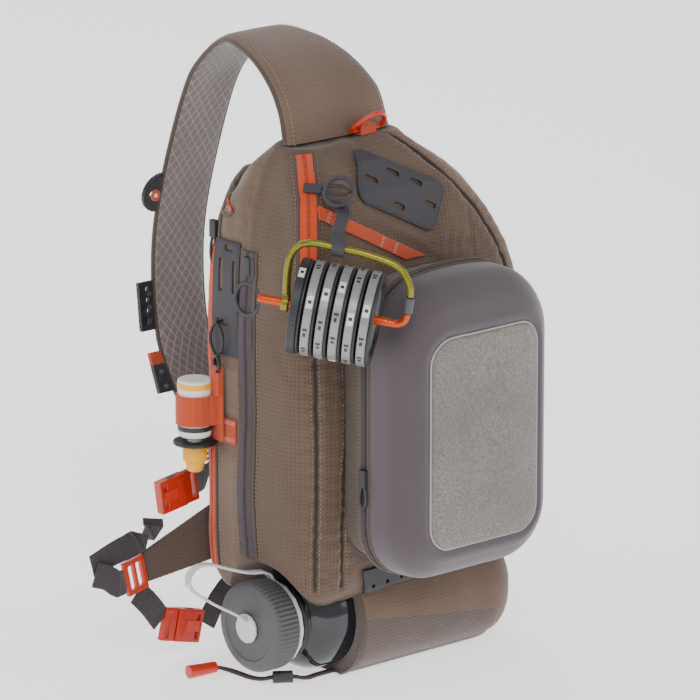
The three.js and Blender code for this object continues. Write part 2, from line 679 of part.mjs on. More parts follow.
// Spool holder: own axes along its bar, up its frame, and towards the bag
const turnAngle = THREE.MathUtils.degToRad(HOLDER.turn);
const tipAngle = THREE.MathUtils.degToRad(HOLDER.tip);
const heading = vector(Math.cos(turnAngle), Math.sin(turnAngle), 0);
const along = heading.clone().multiplyScalar(Math.cos(tipAngle)).addScaledVector(UP, -Math.sin(tipAngle));
const upFrame = heading.clone().multiplyScalar(Math.sin(tipAngle)).addScaledVector(UP, Math.cos(tipAngle));
const inFrame = (u, v) => vector(HOLDER.x, HOLDER.y, HOLDER.z)
  .addScaledVector(along, u)
  .addScaledVector(upFrame, v);
const collarU = HOLDER.barRight + 11.5;
const legU = -HOLDER.width * 0.41;
const framePath = [
  inFrame(legU, HOLDER.bar + 2),
  ...[
    [legU - 2, 0.45], [legU - 1, 0.8], [legU + 7, 0.98], [-4, 1], [20, 0.98],
    [collarU - 10, 0.86], [collarU - 1, 0.6], [collarU, 0.44],
  ].map(([u, share]) => inFrame(u, HOLDER.height * share)),
];
const eye = rod(inFrame(legU - 3, 0), inFrame(legU + 3, 0), HOLDER.bar + 3.4, 12)
  .subtract(rod(inFrame(legU - 9, 0), inFrame(legU + 9, 0), HOLDER.bar + GAP, 12));
const collarLow = HOLDER.height * 0.2;
const collarHigh = HOLDER.height * 0.44;
const collarRod = (radius, over) => rod(
  inFrame(collarU, collarLow - over), inFrame(collarU, collarHigh + over), radius, 12,
);
const collarRoom = collarRod(HOLDER.wire * 3, GAP);
const frameTube = tube(framePath, HOLDER.wire, 8, 20).subtract(collarRoom);
piece('holder_frame', frameTube.add(eye), OLIVE, 0.35, 0.8);
piece('holder_collar', collarRod(HOLDER.wire + 1, 0), 0x8c8d90, 0.4, 0.3);
const bendPath = [
  inFrame(HOLDER.barRight - 4, 0), inFrame(HOLDER.barRight + 5, 0),
  inFrame(collarU - 1.5, 3), inFrame(collarU, collarLow),
];
const bar = rod(inFrame(HOLDER.barLeft, 0), inFrame(HOLDER.barRight - 2, 0), HOLDER.bar, 12)
  .add(tube(bendPath, HOLDER.wire, 8, 10)).subtract(collarRoom);
piece('holder_bar', bar, ORANGE, 0.35, 0.5);

// Line spools, each a rim and a thinner web with a bore
function spool(u) {
  const bore = HOLDER.bar + RUNNING_GAP;
  const half = SPOOL.width / 2;
  const profile = [
    [bore, -SPOOL.web / 2], [SPOOL.radius - SPOOL.rim, -SPOOL.web / 2], [SPOOL.radius - SPOOL.rim, -half],
    [SPOOL.radius, -half], [SPOOL.radius, half], [SPOOL.radius - SPOOL.rim, half],
    [SPOOL.radius - SPOOL.rim, SPOOL.web / 2], [bore, SPOOL.web / 2], [bore, -SPOOL.web / 2],
  ].map(([r, y]) => new THREE.Vector2(r, y));
  const body = solid(new THREE.LatheGeometry(profile, 16));
  const across = along.clone().cross(upFrame);
  return placed(body, inFrame(u, 0), upFrame, along, across.negate());
}
for (let i = 0; i < SPOOL.count; i += 1) {
  piece(`spool_${i + 1}`, spool(SPOOL.first + i * SPOOL.pitch), i === 0 ? BLACK : 0xa8a8a8, 0.4, 0.3);
}

// Rubber tab that carries the holder
const tabFoot = vector(-BODY.left * 0.68, -BODY.front * 0.99, BODY_TOP - 41);
const tabHead = inFrame(-4, HOLDER.height);
const tabAcross = along.clone();
const tabPath = [tabFoot.clone().add(vector(0, 6, 4)), tabFoot.clone().add(vector(-8, -12, 2)),
  tabHead.clone().add(vector(2, 4, 9)), tabHead.clone().add(vector(0, 0, 5))];
const tab = ribbon(tabPath, 10, 4, tabAcross)
  .add(rod(inFrame(-9, HOLDER.height), inFrame(1, HOLDER.height), HOLDER.wire + 3.4, 12))
  .subtract(tube(framePath, HOLDER.wire + GAP * 1.5, 8, 20))
  .subtract(bodySeat);
piece('holder_tab', tab, GREY_RUBBER, 0.7);

// Tabs along the strap's edge
function strapTab(name, share, cut, color) {
  const point = strapCurve.getPoint(share);
  const tangent = strapCurve.getTangent(share);
  const edge = vector(STRAP.centre - strapWidth(share) / 2, point.y, point.z);
  const normal = vector(0, -tangent.z, tangent.y);
  const tab = placed(cut, edge, LEFT, tangent, normal.negate()).subtract(strapSeat);
  return piece(name, tab, color, 0.7);
}
const disk = (radius, height, sides, x = 0) => solid(
  new THREE.CylinderGeometry(radius, radius, height, sides).rotateX(Math.PI / 2).translate(x, 0, 0),
);
const halfRound = disk(TABS.round.radius, 2 * TABS.half, 20)
  .subtract(box([-40, -40, -9], [-TABS.half, 40, 9]))
  .subtract(disk(TABS.round.hole, 9, 10, TABS.round.holeAt));
strapTab('strap_round_tab', TABS.round.share, halfRound, GREY_RUBBER);
let plate = box([-2, -TABS.plate.half, -TABS.half], [TABS.plate.reach, TABS.plate.half, TABS.half]);
for (let i = 0; i < TABS.plate.slots; i += 1) {
  const low = 4 - TABS.plate.half + i * TABS.plate.slotPitch;
  plate = plate.subtract(box([5, low, -9], [8, low + 4, 9]));
}
strapTab('strap_plate_tab', TABS.plate.share, plate, BLACK);
const endTab = box([-6, -TABS.end.low, -TABS.half], [TABS.end.reach, TABS.end.high, TABS.half]);
strapTab('strap_end_tab', TABS.end.share, endTab, GREY_RUBBER);

// Side-release buckle: plug and socket along an axis, b across it and c through it
function buckle(plugName, socketName, from, to, across) {
  const axis = to.clone().sub(from).normalize();
  const side = across.clone().addScaledVector(axis, -across.dot(axis)).normalize();
  const normal = axis.clone().cross(side);
  const w = BUCKLE.width / 2;
  const t = BUCKLE.thickness / 2;
  const plug = box([0, -w, -t * 0.7], [BUCKLE.base, w, t * 0.7])
    .subtract(box([BUCKLE.edge, -w + BUCKLE.edge, -9], [BUCKLE.slotEnd, w - BUCKLE.edge, 9]))
    .add(box(
      [BUCKLE.base - 1, -BUCKLE.prongHalf, -t * 0.45],
      [BUCKLE.base + BUCKLE.prong, BUCKLE.prongHalf, t * 0.45],
    ));
  const start = BUCKLE.base + GAP;
  const end = start + BUCKLE.socket;
  const socket = box([start, -w, -t], [end, w, t])
    .subtract(box(
      [start - 1, -BUCKLE.mouthHalf, -t * 0.6], [start + BUCKLE.prong + 3, BUCKLE.mouthHalf, t * 0.6],
    ))
    .subtract(box([end - BUCKLE.slotEnd, -w + BUCKLE.edge, -9], [end - BUCKLE.edge, w - BUCKLE.edge, 9]));
  piece(plugName, placed(plug, from, axis, side, normal), RED, 0.35);
  piece(socketName, placed(socket, from, axis, side, normal), RED, 0.35);
  const room = box([-GAP, -w - GAP, -t - GAP], [end + GAP, w + GAP, t + GAP]);
  return placed(room, from, axis, side, normal);
}

// Waist belt: places of its hardware, in a plane behind the bag
const BELT_Y = BODY.back + 15;
const BELT = {
  upperLeft: vector(-148, BELT_Y, 134), upperRight: vector(-101, BELT_Y, 141),
  lowerLeft: vector(-137, BELT_Y, 31), lowerRight: vector(-92, BELT_Y, 20),
  lock: vector(-165, BELT_Y, 77), fold: vector(-208, BELT_Y + 1, 92),
};
const upperRoom = buckle('upper_buckle_plug', 'upper_buckle_socket', BELT.upperRight, BELT.upperLeft, UP);
const lowerRoom = buckle(
  'lower_buckle_plug', 'lower_buckle_socket', BELT.lowerLeft, BELT.lowerRight, vector(0.3, 0, 1),
);

const lockAlong = vector(0.975, 0, 0.22).normalize();
const lockLean = vector(0.47, 0, -0.88);
const lockAcross = lockLean.clone().addScaledVector(lockAlong, -lockLean.dot(lockAlong)).normalize();
const lockNormal = lockAlong.clone().cross(lockAcross);
const lockBox = (grow) => box(
  [-LOCK.length / 2 - grow, -LOCK.height / 2 - grow, -LOCK.thickness / 2 - grow],
  [LOCK.length / 2 + grow, LOCK.height / 2 + grow, LOCK.thickness / 2 + grow],
);
const slotEnd = LOCK.length / 2 - LOCK.edge;
const lockSlots = [[-slotEnd, -LOCK.bar / 2], [LOCK.bar / 2, slotEnd]].map(([low, high]) => box(
  [low, -LOCK.height / 2 + LOCK.edge, -9], [high, LOCK.height / 2 - LOCK.edge, 9],
));
const lockBody = lockBox(0).subtract(lockSlots[0]).subtract(lockSlots[1]);
piece('ladder_lock', placed(lockBody, BELT.lock, lockAlong, lockAcross, lockNormal), RED, 0.35);
const lockRoom = placed(lockBox(GAP), BELT.lock, lockAlong, lockAcross, lockNormal);
const atLock = (u, v) => BELT.lock.clone().addScaledVector(lockAlong, u).addScaledVector(lockAcross, v);

// Side wing from the back edge of the bag to the lock
const wingRoot = vector(-BODY.left + BACK_PANEL.margin - GAP, BODY.back - 1, 0);
const wingEdge = [
  vector(wingRoot.x, wingRoot.y, WING.top), vector(wingRoot.x, wingRoot.y, WING.bottom),
  atLock(LOCK.length / 2 + GAP, LOCK.height / 2 - WING.thickness),
  atLock(LOCK.length / 2 + GAP, -LOCK.height / 2),
];
const wing = loft([0, WING.thickness].map(
  (depth) => wingEdge.map((point) => vector(point.x, point.y + depth, point.z)),
));
piece('wing', wing.subtract(bodySeat).subtract(lockRoom), BROWN);

// Place along Y of webbing that lies on the back panel
function panelFace(z) {
  const { back } = bodyReach((z - BODY.bottom) / BODY.height);
  return back + BACK_PANEL.thickness + WEBBING_THICKNESS / 2 + GAP * 3;
}

const web = (name, points, across, acrossEnd, thickness = WEBBING_THICKNESS) => piece(
  name,
  ribbon(points, WEBBING_WIDTH, thickness, across, acrossEnd)
    .subtract(upperRoom).subtract(lowerRoom).subtract(lockRoom),
  0x4c4244, 0.9,
);
const strapEnd = strapCurve.getPoint(1);
const strapLeave = strapCurve.getTangent(1);
const strapExit = (past) => vector(STRAP.centre, strapEnd.y, strapEnd.z).addScaledVector(strapLeave, past);
web('strap_end_webbing', [
  strapExit(GAP * 1.5), strapExit(4), strapExit(12).add(vector(-7, 0, 0)),
  BELT.upperRight.clone().add(vector(35, 24, -4)),
  BELT.upperRight.clone().add(vector(GAP * 2, 0.4, 0)),
], vector(1, 0, 0), UP);
web('upper_webbing', [
  BELT.upperLeft.clone().add(vector(2, 0, -BUCKLE.width / 2 - GAP)),
  BELT.upperLeft.clone().add(vector(0, -2, -22)), BELT.fold.clone().add(vector(44, -1, 12)),
  BELT.fold.clone().add(vector(21, 1, 6)), BELT.fold,
], vector(1, 0, 0), UP);
web('webbing_tail', [
  BELT.fold.clone().add(vector(1, -3.4, -6)), BELT.fold.clone().add(vector(14, -3.4, -11)),
  atLock(-LOCK.length / 2 - 8, 0).add(vector(0, -2, 0)), atLock(-LOCK.length / 2 - 1, 0),
], vector(0.2, 0, 1), lockAcross.clone().negate(), WEBBING_THICKNESS * TAIL_LAYERS);
web('lower_webbing', [
  atLock(-1, LOCK.height / 2 + GAP), BELT.lowerLeft.clone().add(vector(-14, -1, 19)),
  BELT.lowerLeft.clone().add(vector(-1, 0, 3)),
], vector(1, 0, 0.2), vector(0.9, 0, 0.3));
web('waist_webbing', [
  BELT.lowerRight.clone().add(vector(GAP * 2, 0, 1)),
  ...[[12, 0, 18], [32, 0, 34], [66, -1, 50]].map((step) => BELT.lowerRight.clone().add(vector(...step))),
  vector(8, panelFace(BACK_PANEL.bottom + 14), BACK_PANEL.bottom + 14),
], UP, UP);

// Water bottle
const alongX = (profile, sides) => solid(new THREE.LatheGeometry(
  profile.map(([radius, x]) => new THREE.Vector2(radius, x)), sides,
).rotateZ(-Math.PI / 2).translate(0, BOTTLE.y, BOTTLE_Z));
const bottleProfile = [
  [0, BOTTLE.base], [BOTTLE.radius * 0.9, BOTTLE.base], [BOTTLE.radius, BOTTLE.base - 6],
  [BOTTLE.radius, BOTTLE.shoulder], [BOTTLE.neckRadius + 5, BOTTLE.shoulder - 8],
  [BOTTLE.neckRadius, BOTTLE.shoulder - 10], [BOTTLE.neckRadius, BOTTLE.neckEnd - 14],
  [BOTTLE.neckRadius - BOTTLE.wall, BOTTLE.neckEnd - 14],
  [BOTTLE.neckRadius - BOTTLE.wall, BOTTLE.shoulder - 8],
  [BOTTLE.radius - BOTTLE.wall, BOTTLE.shoulder + 2], [BOTTLE.radius - BOTTLE.wall, BOTTLE.base - 6],
  [0, BOTTLE.base - BOTTLE.wall],
];
piece('bottle_body', alongX(bottleProfile, 18), 0x2a3338, 0.1);
const capInner = BOTTLE.capRadius - BOTTLE.capWall;
piece('bottle_cap', alongX([
  [BOTTLE.neckRadius + 1, BOTTLE.neckEnd], [BOTTLE.capRadius, BOTTLE.neckEnd],
  [BOTTLE.capRadius, BOTTLE.capEnd + 3],
  [BOTTLE.capRadius - 3, BOTTLE.capEnd], [0, BOTTLE.capEnd], [0, BOTTLE.capEnd + BOTTLE.capWall],
  [capInner, BOTTLE.capEnd + BOTTLE.capWall], [capInner, BOTTLE.neckEnd - 3],
  [BOTTLE.neckRadius + 1, BOTTLE.neckEnd - 3], [BOTTLE.neckRadius + 1, BOTTLE.neckEnd],
], 20), 0x7b7d7f, 0.5);

// Loop strap from a ring round the bottle's neck to the middle of its cap
// Run of the loop past the cap's end, sideways and up from the middle of the cap
const LOOP_RUN = [
  [11, 0, 12.7], [29, 12, 24.7], [40, 25, 37.7], [33, 28, 47.7],
  [20, 25, 50.7], [5, 18, 45.7], [-10, 10, 41.2], [-23, 4, 40.2],
];
const ringInner = BOTTLE.neckRadius + GAP * 2;
const ringOuter = BOTTLE.neckRadius + 5;
const neckRing = alongX([
  [ringInner, LOOP.ringTo], [ringOuter, LOOP.ringTo], [ringOuter, LOOP.ringFrom],
  [ringInner, LOOP.ringFrom], [ringInner, LOOP.ringTo],
], 16);
const capCentre = (off) => vector(BOTTLE.capEnd - off, BOTTLE.y, BOTTLE_Z);
const disc = rod(capCentre(GAP), capCentre(GAP + 2.4), LOOP.disc, 14);
const loopPath = [
  capCentre(GAP + 1.2).add(vector(0, 0, 5)),
  ...LOOP_RUN.map(([out, side, up]) => vector(BOTTLE.capEnd - out, BOTTLE.y + side, BOTTLE_Z + up)),
  vector(LOOP.ringFrom + 2, BOTTLE.y + 2, BOTTLE_Z + BOTTLE.neckRadius + 3.5),
];
const loopBand = ribbon(loopPath, LOOP.width, LOOP.thickness, vector(0.25, 1, 0), vector(0, 1, 0), 22);
piece('bottle_loop', neckRing.add(disc).add(loopBand), 0xd9dadb, 0.3);

// Sleeve round the bottle
const sleeveRoom = rod(
  vector(SLEEVE.hem - 1, BOTTLE.y, BOTTLE_Z), vector(BOTTLE.base + 2, BOTTLE.y, BOTTLE_Z),
  (BOTTLE.radius + SLEEVE.slack) / Math.cos(Math.PI / 24), 24,
);
piece('bottle_sleeve', sleeveForm(SLEEVE.hem, 0).subtract(sleeveRoom), BROWN);

// Drawcord of the sleeve: two strands from its hem through a lock to a toggle on the ground
const lockFrom = vector(-110, -17, 5.2);
const lockTo = vector(-97, -26, 5.2);
const toggle = [vector(-127, 32, 5.7), vector(-152, 36, 5.7)];
piece('cord_toggle', rod(toggle[0], toggle[1], 4.6, 10, 5.6), RED, 0.4);
// Route from the hem to the toggle, midway between the strands
const CORD_ROUTE = [
  [-55.4, -27.0, 1.7], [-72.0, -27.0, 1.7], [-86.0, -29.0, 2.4], [-97.0, -26.0, 5.2],
  [-103.5, -21.5, 5.2], [-110.0, -17.0, 5.2], [-114.6, -9.0, 2.8], [-116.0, 3.0, 1.6],
  [-116.0, 14.0, 1.6], [-118.5, 25.0, 2.8], [-126.2, 31.9, 5.4],
];
// Sideways direction of the strands at each point of the route
const CORD_SIDES = [
  [0, 1], [0, 1], [0.1, 1], [0.57, 0.82], [0.57, 0.82], [0.57, 0.82],
  [0.9, 0.4], [1, 0], [1, 0.1], [0.85, 0.53], [0.16, 0.98],
];
function strandPath(side) {
  return CORD_ROUTE.map(([x, y, z], point) => vector(
    x + side * CORD.apart * CORD_SIDES[point][0], y + side * CORD.apart * CORD_SIDES[point][1], z,
  ));
}
for (const [index, side] of [-0.5, 0.5].entries()) {
  piece(`drawcord_${index + 1}`, tube(strandPath(side), CORD.radius, 8, 30), 0x4c3a33, 0.9);
}
const lockSlot = placed(
  box([-40, -CORD.apart / 2 - CORD.radius - CORD.slack, -CORD.radius - CORD.slack],
    [40, CORD.apart / 2 + CORD.radius + CORD.slack, CORD.radius + CORD.slack]),
  lockFrom, lockTo.clone().sub(lockFrom).normalize(), vector(0.57, 0.82, 0).normalize(), UP,
);
piece('cord_lock', rod(lockFrom, lockTo, 5.1, 10).subtract(lockSlot), RED, 0.4);

// Clip on the side patch, and the small bottle in its holster
const quarters = [0, 0.25, 0.5, 0.75].map((share) => 2 * Math.PI * share);
const oval = (low, high, half, skew = 0) => quarters.map((angle) => vector(
  CLIP.x + half * skew * Math.sin(angle), CLIP.y + half * Math.sin(angle),
  (low + high) / 2 + ((high - low) / 2) * Math.cos(angle),
));
const ringLow = CLIP.bottom - 2 * CLIP.ring + 1;
const swivel = oval(ringLow, CLIP.bottom + 1.2, CLIP.ring, 0.45);
const studEnd = (x) => vector(x, CLIP.y + 0.2, CLIP.top - 0.1);
const clip = tube(oval(CLIP.bottom, CLIP.top, 8), CLIP.wire, 6, 10, true)
  .add(tube(swivel, CLIP.wire, 6, 9, true))
  .add(rod(studEnd(CLIP.x), studEnd(-BODY.left - GAP * 2), CLIP.wire * 0.8, 7));
piece('gear_clip', clip, BLACK, 0.5);

const vialAt = (z) => vector(VIAL.x, VIAL.y, z);
const upright = (profile, sides) => solid(new THREE.LatheGeometry(
  profile.map(([radius, z]) => new THREE.Vector2(radius, z)), sides,
).rotateX(Math.PI / 2).translate(VIAL.x, VIAL.y, 0));
const flangeTop = VIAL.bottom - 2;
const flangeLow = flangeTop - HOLSTER.flangeThickness;
piece('floatant_bottle', upright([
  [0, VIAL.top], [VIAL.radius * 0.7, VIAL.top - 1], [VIAL.radius * 0.93, VIAL.top - 4],
  [VIAL.radius, VIAL.top - 9],
  [VIAL.radius, VIAL.bottom + 6], [VIAL.radius * 0.75, VIAL.bottom], [VIAL.neck, VIAL.bottom - 1],
  [VIAL.neck, VIAL.bottom - VIAL.neckLength], [0, VIAL.bottom - VIAL.neckLength],
], 16), 0xd8d2c4, 0.3);
piece('floatant_flange', rod(vialAt(flangeLow), vialAt(flangeTop), HOLSTER.flange, 18)
  .subtract(rod(vialAt(flangeLow - 1), vialAt(flangeTop + 1), VIAL.neck + GAP, 16))
  .subtract(bodySeat), BLACK, 0.6);
piece('floatant_cap', upright([
  [0, VIAL.capBottom], [VIAL.capRadius, VIAL.capBottom], [VIAL.capRadius, flangeLow - GAP],
  [VIAL.neck + GAP, flangeLow - GAP],
  [VIAL.neck + GAP, VIAL.bottom - VIAL.neckLength - GAP], [0, VIAL.bottom - VIAL.neckLength - GAP],
], 16), 0xf3b70a, 0.4);
const swivelBlock = box([CLIP.x - 3, CLIP.y - 5, HOLSTER.high], [CLIP.x + 3, CLIP.y + 5, ringLow + 5]);
const holsterBack = box(
  [CLIP.x + 1, CLIP.y - 5, flangeTop + GAP], [CLIP.x + 3, CLIP.y + 6, HOLSTER.high + 2],
);
const holsterLink = box([VIAL.x + 4, CLIP.y - 1, HOLSTER.low], [CLIP.x + 3, VIAL.y - 4, HOLSTER.high]);
const holsterBand = rod(vialAt(HOLSTER.low), vialAt(HOLSTER.high), VIAL.radius + GAP + HOLSTER.band, 18);
piece('holster', holsterBand
  .add(holsterLink).add(holsterBack).add(swivelBlock)
  .subtract(tube(swivel, CLIP.wire + GAP * 1.5, 6, 9, true))
  .subtract(rod(vialAt(HOLSTER.low - 90), vialAt(HOLSTER.high + 20), VIAL.radius + GAP, 18)), ORANGE, 0.8);

// Perforated rubber strips under the case
const STRIPS = [
  {
    name: 'lower_strip_left', from: [-42, 76], to: [2, 80],
    outline: [[-54, 91], [-50, 71], [-40, 70], [8, 76], [8, 84], [-20, 91]],
  },
  {
    name: 'lower_strip_right', from: [46, 81], to: [82, 86],
    outline: [[38, 75], [88, 83], [88, 90], [38, 87]],
  },
];
for (const { name, outline, from, to } of STRIPS) {
  let strip = bodySkin(GAP, RUBBER).intersect(prism(outline, -far, -5));
  for (let i = 0; i < 4; i += 1) {
    const [x, z] = [0, 1].map((k) => from[k] + ((to[k] - from[k]) * i) / 3);
    strip = strip.subtract(rod(vector(x, -far, z), vector(x, 0, z), STRIP.hole, 6));
  }
  piece(name, strip, GREY_RUBBER, 0.8);
}

export default group;
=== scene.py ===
"""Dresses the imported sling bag: cloth, padding, hardware, tackle and studio."""
import logging
import math
from collections.abc import Callable
from dataclasses import dataclass
from enum import Enum

import bmesh
import bpy
from mathutils import Matrix, Vector, noise
from mathutils.bvhtree import BVHTree
from mathutils.kdtree import KDTree


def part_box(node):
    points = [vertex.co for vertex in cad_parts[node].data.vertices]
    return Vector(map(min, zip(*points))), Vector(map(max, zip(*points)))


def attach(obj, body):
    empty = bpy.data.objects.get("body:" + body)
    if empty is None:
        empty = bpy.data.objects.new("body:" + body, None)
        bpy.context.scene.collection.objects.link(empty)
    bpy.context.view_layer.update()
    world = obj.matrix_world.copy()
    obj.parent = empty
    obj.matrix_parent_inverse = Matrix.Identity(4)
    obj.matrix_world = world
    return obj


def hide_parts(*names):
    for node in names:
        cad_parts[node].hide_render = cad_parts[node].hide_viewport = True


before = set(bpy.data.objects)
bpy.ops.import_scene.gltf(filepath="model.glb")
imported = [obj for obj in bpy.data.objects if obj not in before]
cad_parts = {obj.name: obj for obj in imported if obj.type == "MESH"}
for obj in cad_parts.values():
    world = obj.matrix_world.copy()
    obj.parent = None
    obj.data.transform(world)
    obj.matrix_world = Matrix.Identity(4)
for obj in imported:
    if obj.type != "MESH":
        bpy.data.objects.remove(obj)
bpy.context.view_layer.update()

LOG = logging.getLogger("sling_bag")
MM = 0.001
BAG = "bag"
UP = Vector((0, 0, 1))
FRONT = Vector((0, -1, 0))
RIGHT = Vector((1, 0, 0))
TURN = 2 * math.pi
DIAGONAL = 0.7071
MERGE = 1e-6
FINE_MERGE = 1e-7
EASE_STEPS = 12
TOOTH_PITCH = 1.7
Pair = tuple[float, float]


class Pattern(Enum):
    """Surface patterns that a finish can carry."""

    PLAIN = "plain"
    RIPSTOP = "ripstop"
    DOTS = "dots"
    DIAMOND = "diamond"
    RIB = "rib"
    FELT = "felt"


def mm(x: float, y: float, z: float) -> Vector:
    """Point given in millimetres, in metres."""
    return Vector((x, y, z)) * MM


# Finishes

def new_group(name: str, inputs: dict[str, object], outputs: list[str]) -> bpy.types.NodeTree:
    """Starts a shader node group.

    Args:
        name: name of the group.
        inputs: socket names with their first values; a tuple makes a vector socket.
        outputs: names of the float outputs.

    Returns:
        The new group, with its input and output nodes.
    """
    tree = bpy.data.node_groups.new(name, "ShaderNodeTree")
    for key, value in inputs.items():
        kind = "NodeSocketVector" if isinstance(value, tuple) else "NodeSocketFloat"
        tree.interface.new_socket(key, in_out="INPUT", socket_type=kind).default_value = value
    for key in outputs:
        tree.interface.new_socket(key, in_out="OUTPUT", socket_type="NodeSocketFloat")
    tree.nodes.new("NodeGroupInput")
    tree.nodes.new("NodeGroupOutput")
    return tree


class Wiring:
    """Short hand for adding linked nodes to one node tree."""

    def __init__(self, tree: bpy.types.NodeTree) -> None:
        """Keeps the tree that the nodes are added to."""
        self.tree = tree

    def put(self, socket: bpy.types.NodeSocket, value: object) -> None:
        """Links an output to the socket, or sets the socket's own value."""
        if isinstance(value, bpy.types.NodeSocket):
            self.tree.links.new(value, socket)
        else:
            socket.default_value = value

    def math(self, operation: str, *values: object, clamp: bool = False) -> bpy.types.NodeSocket:
        """Adds a Math node and returns its output."""
        node = self.tree.nodes.new("ShaderNodeMath")
        node.operation = operation
        node.use_clamp = clamp
        for socket, value in zip(node.inputs, values):
            self.put(socket, value)
        return node.outputs[0]

    def noise(self, vector: object, scale: float, detail: float = 3) -> bpy.types.NodeSocket:
        """Adds a Noise node and returns its value."""
        node = self.tree.nodes.new("ShaderNodeTexNoise")
        self.put(node.inputs["Vector"], vector)
        self.put(node.inputs["Scale"], scale)
        self.put(node.inputs["Detail"], detail)
        return node.outputs["Fac"]

    def mix(self, factor: object, first: object, second: object, blend: str = "MIX") -> bpy.types.NodeSocket:
        """Adds a colour Mix node and returns its result."""
        node = self.tree.nodes.new("ShaderNodeMix")
        node.data_type = "RGBA"
        node.blend_type = blend
        node.clamp_factor = True
        self.put(node.inputs[0], factor)
        self.put(node.inputs[6], first)
        self.put(node.inputs[7], second)
        return node.outputs[2]

    def group(self, tree: bpy.types.NodeTree, **values: object) -> bpy.types.Node:
        """Places a node group with its values."""
        node = self.tree.nodes.new("ShaderNodeGroup")
        node.node_tree = tree
        for key, value in values.items():
            self.put(node.inputs[key], value)
        return node

    def wave(self, place: object, pitch: object, kind: str = "COSINE") -> bpy.types.NodeSocket:
        """Adds a wave between 0 and 1 that repeats at a pitch, and returns its output."""
        turns = self.math("MULTIPLY", self.math("DIVIDE", place, pitch), TURN)
        return self.math("MULTIPLY_ADD", self.math(kind, turns), 0.5, 0.5)


def grid_group() -> bpy.types.NodeTree:
    """Builds the woven grid: raised lines and small dots that follow the main planes."""
    gate_power, line_power, dot_power = 3.0, 5.0, 1.6
    sockets = {"Vector": (0, 0, 0), "Normal": (0, 0, 1), "Pitch": 0.003}
    tree = new_group("woven_grid", sockets, ["Lines", "Dots"])
    wire = Wiring(tree)
    inside, out = tree.nodes["Group Input"], tree.nodes["Group Output"]
    split = tree.nodes.new("ShaderNodeSeparateXYZ")
    facing = tree.nodes.new("ShaderNodeSeparateXYZ")
    wire.put(split.inputs[0], inside.outputs["Vector"])
    wire.put(facing.inputs[0], inside.outputs["Normal"])
    lines, dots = 0.0, 1.0
    for axis in range(3):
        level = wire.wave(split.outputs[axis], inside.outputs["Pitch"])
        flat = wire.math("POWER", wire.math("ABSOLUTE", facing.outputs[axis]), gate_power)
        gate = wire.math("SUBTRACT", 1.0, flat)
        sharp = wire.math("POWER", level, line_power)
        lines = wire.math("MAXIMUM", lines, wire.math("MULTIPLY", sharp, gate))
        missing = wire.math("MULTIPLY", gate, wire.math("SUBTRACT", 1.0, level))
        dots = wire.math("MULTIPLY", dots, wire.math("SUBTRACT", 1.0, missing))
    wire.put(out.inputs["Lines"], lines)
    wire.put(out.inputs["Dots"], wire.math("POWER", dots, dot_power))
    return tree


def diamond_group() -> bpy.types.NodeTree:
    """Builds the lattice of thin diagonal lines and the rib across a band, on a piece's own UV map."""
    slope, line_power = 0.72, 14.0
    tree = new_group("diagonal_lattice", {"Vector": (0, 0, 0), "Pitch": 0.007}, ["Lines", "Rib"])
    wire = Wiring(tree)
    inside, out = tree.nodes["Group Input"], tree.nodes["Group Output"]
    pitch = inside.outputs["Pitch"]
    split = tree.nodes.new("ShaderNodeSeparateXYZ")
    wire.put(split.inputs[0], inside.outputs["Vector"])
    across, along = split.outputs[0], split.outputs[1]
    lines = 0.0
    for sign in (slope, -slope):
        level = wire.wave(wire.math("MULTIPLY_ADD", along, sign, across), pitch)
        lines = wire.math("MAXIMUM", lines, wire.math("POWER", level, line_power))
    wire.put(out.inputs["Lines"], lines)
    wire.put(out.inputs["Rib"], wire.wave(along, pitch, "SINE"))
    return tree


def surface_group() -> bpy.types.NodeTree:
    """Builds the shared surface noise: soft patches of tone, fine grain and worn edges."""
    edge_start, edge_gain = 0.52, 9.0
    tree = new_group(
        "surface_wear",
        {"Vector": (0, 0, 0), "Pointiness": 0.5, "Patch": 18.0, "Grain": 900.0, "Wear": 0.3},
        ["Tone", "Grain", "Worn"],
    )
    wire = Wiring(tree)
    inside, out = tree.nodes["Group Input"], tree.nodes["Group Output"]
    tone = wire.noise(inside.outputs["Vector"], inside.outputs["Patch"], 4)
    grain = wire.noise(inside.outputs["Vector"], inside.outputs["Grain"], 2)
    sharp = wire.math("SUBTRACT", inside.outputs["Pointiness"], edge_start)
    edge = wire.math("MULTIPLY", sharp, edge_gain, clamp=True)
    broken = wire.math("MULTIPLY", edge, wire.math("MULTIPLY_ADD", grain, 0.8, 0.3))
    wire.put(out.inputs["Tone"], tone)
    wire.put(out.inputs["Grain"], grain)
    wire.put(out.inputs["Worn"], wire.math("MULTIPLY", broken, inside.outputs["Wear"], clamp=True))
    return tree


GROUPS = {"grid": grid_group(), "diamond": diamond_group(), "surface": surface_group()}
TONE_GAIN, TONE_START, TONE_SHARE = 2.2, -0.75, 0.55
WORN_GAIN, WORN_LIFT = 1.7, 0.04
ROUGHNESS_SPREAD = 0.16
BUMP_STRENGTH = 0.8


def linear(code: str) -> tuple[float, float, float, float]:
    """Turns a six-digit colour code into a linear colour."""
    parts = [int(code[i:i + 2], 16) / 255 for i in (0, 2, 4)]
    return (*[c / 12.92 if c <= 0.04045 else ((c + 0.055) / 1.055) ** 2.4 for c in parts], 1.0)


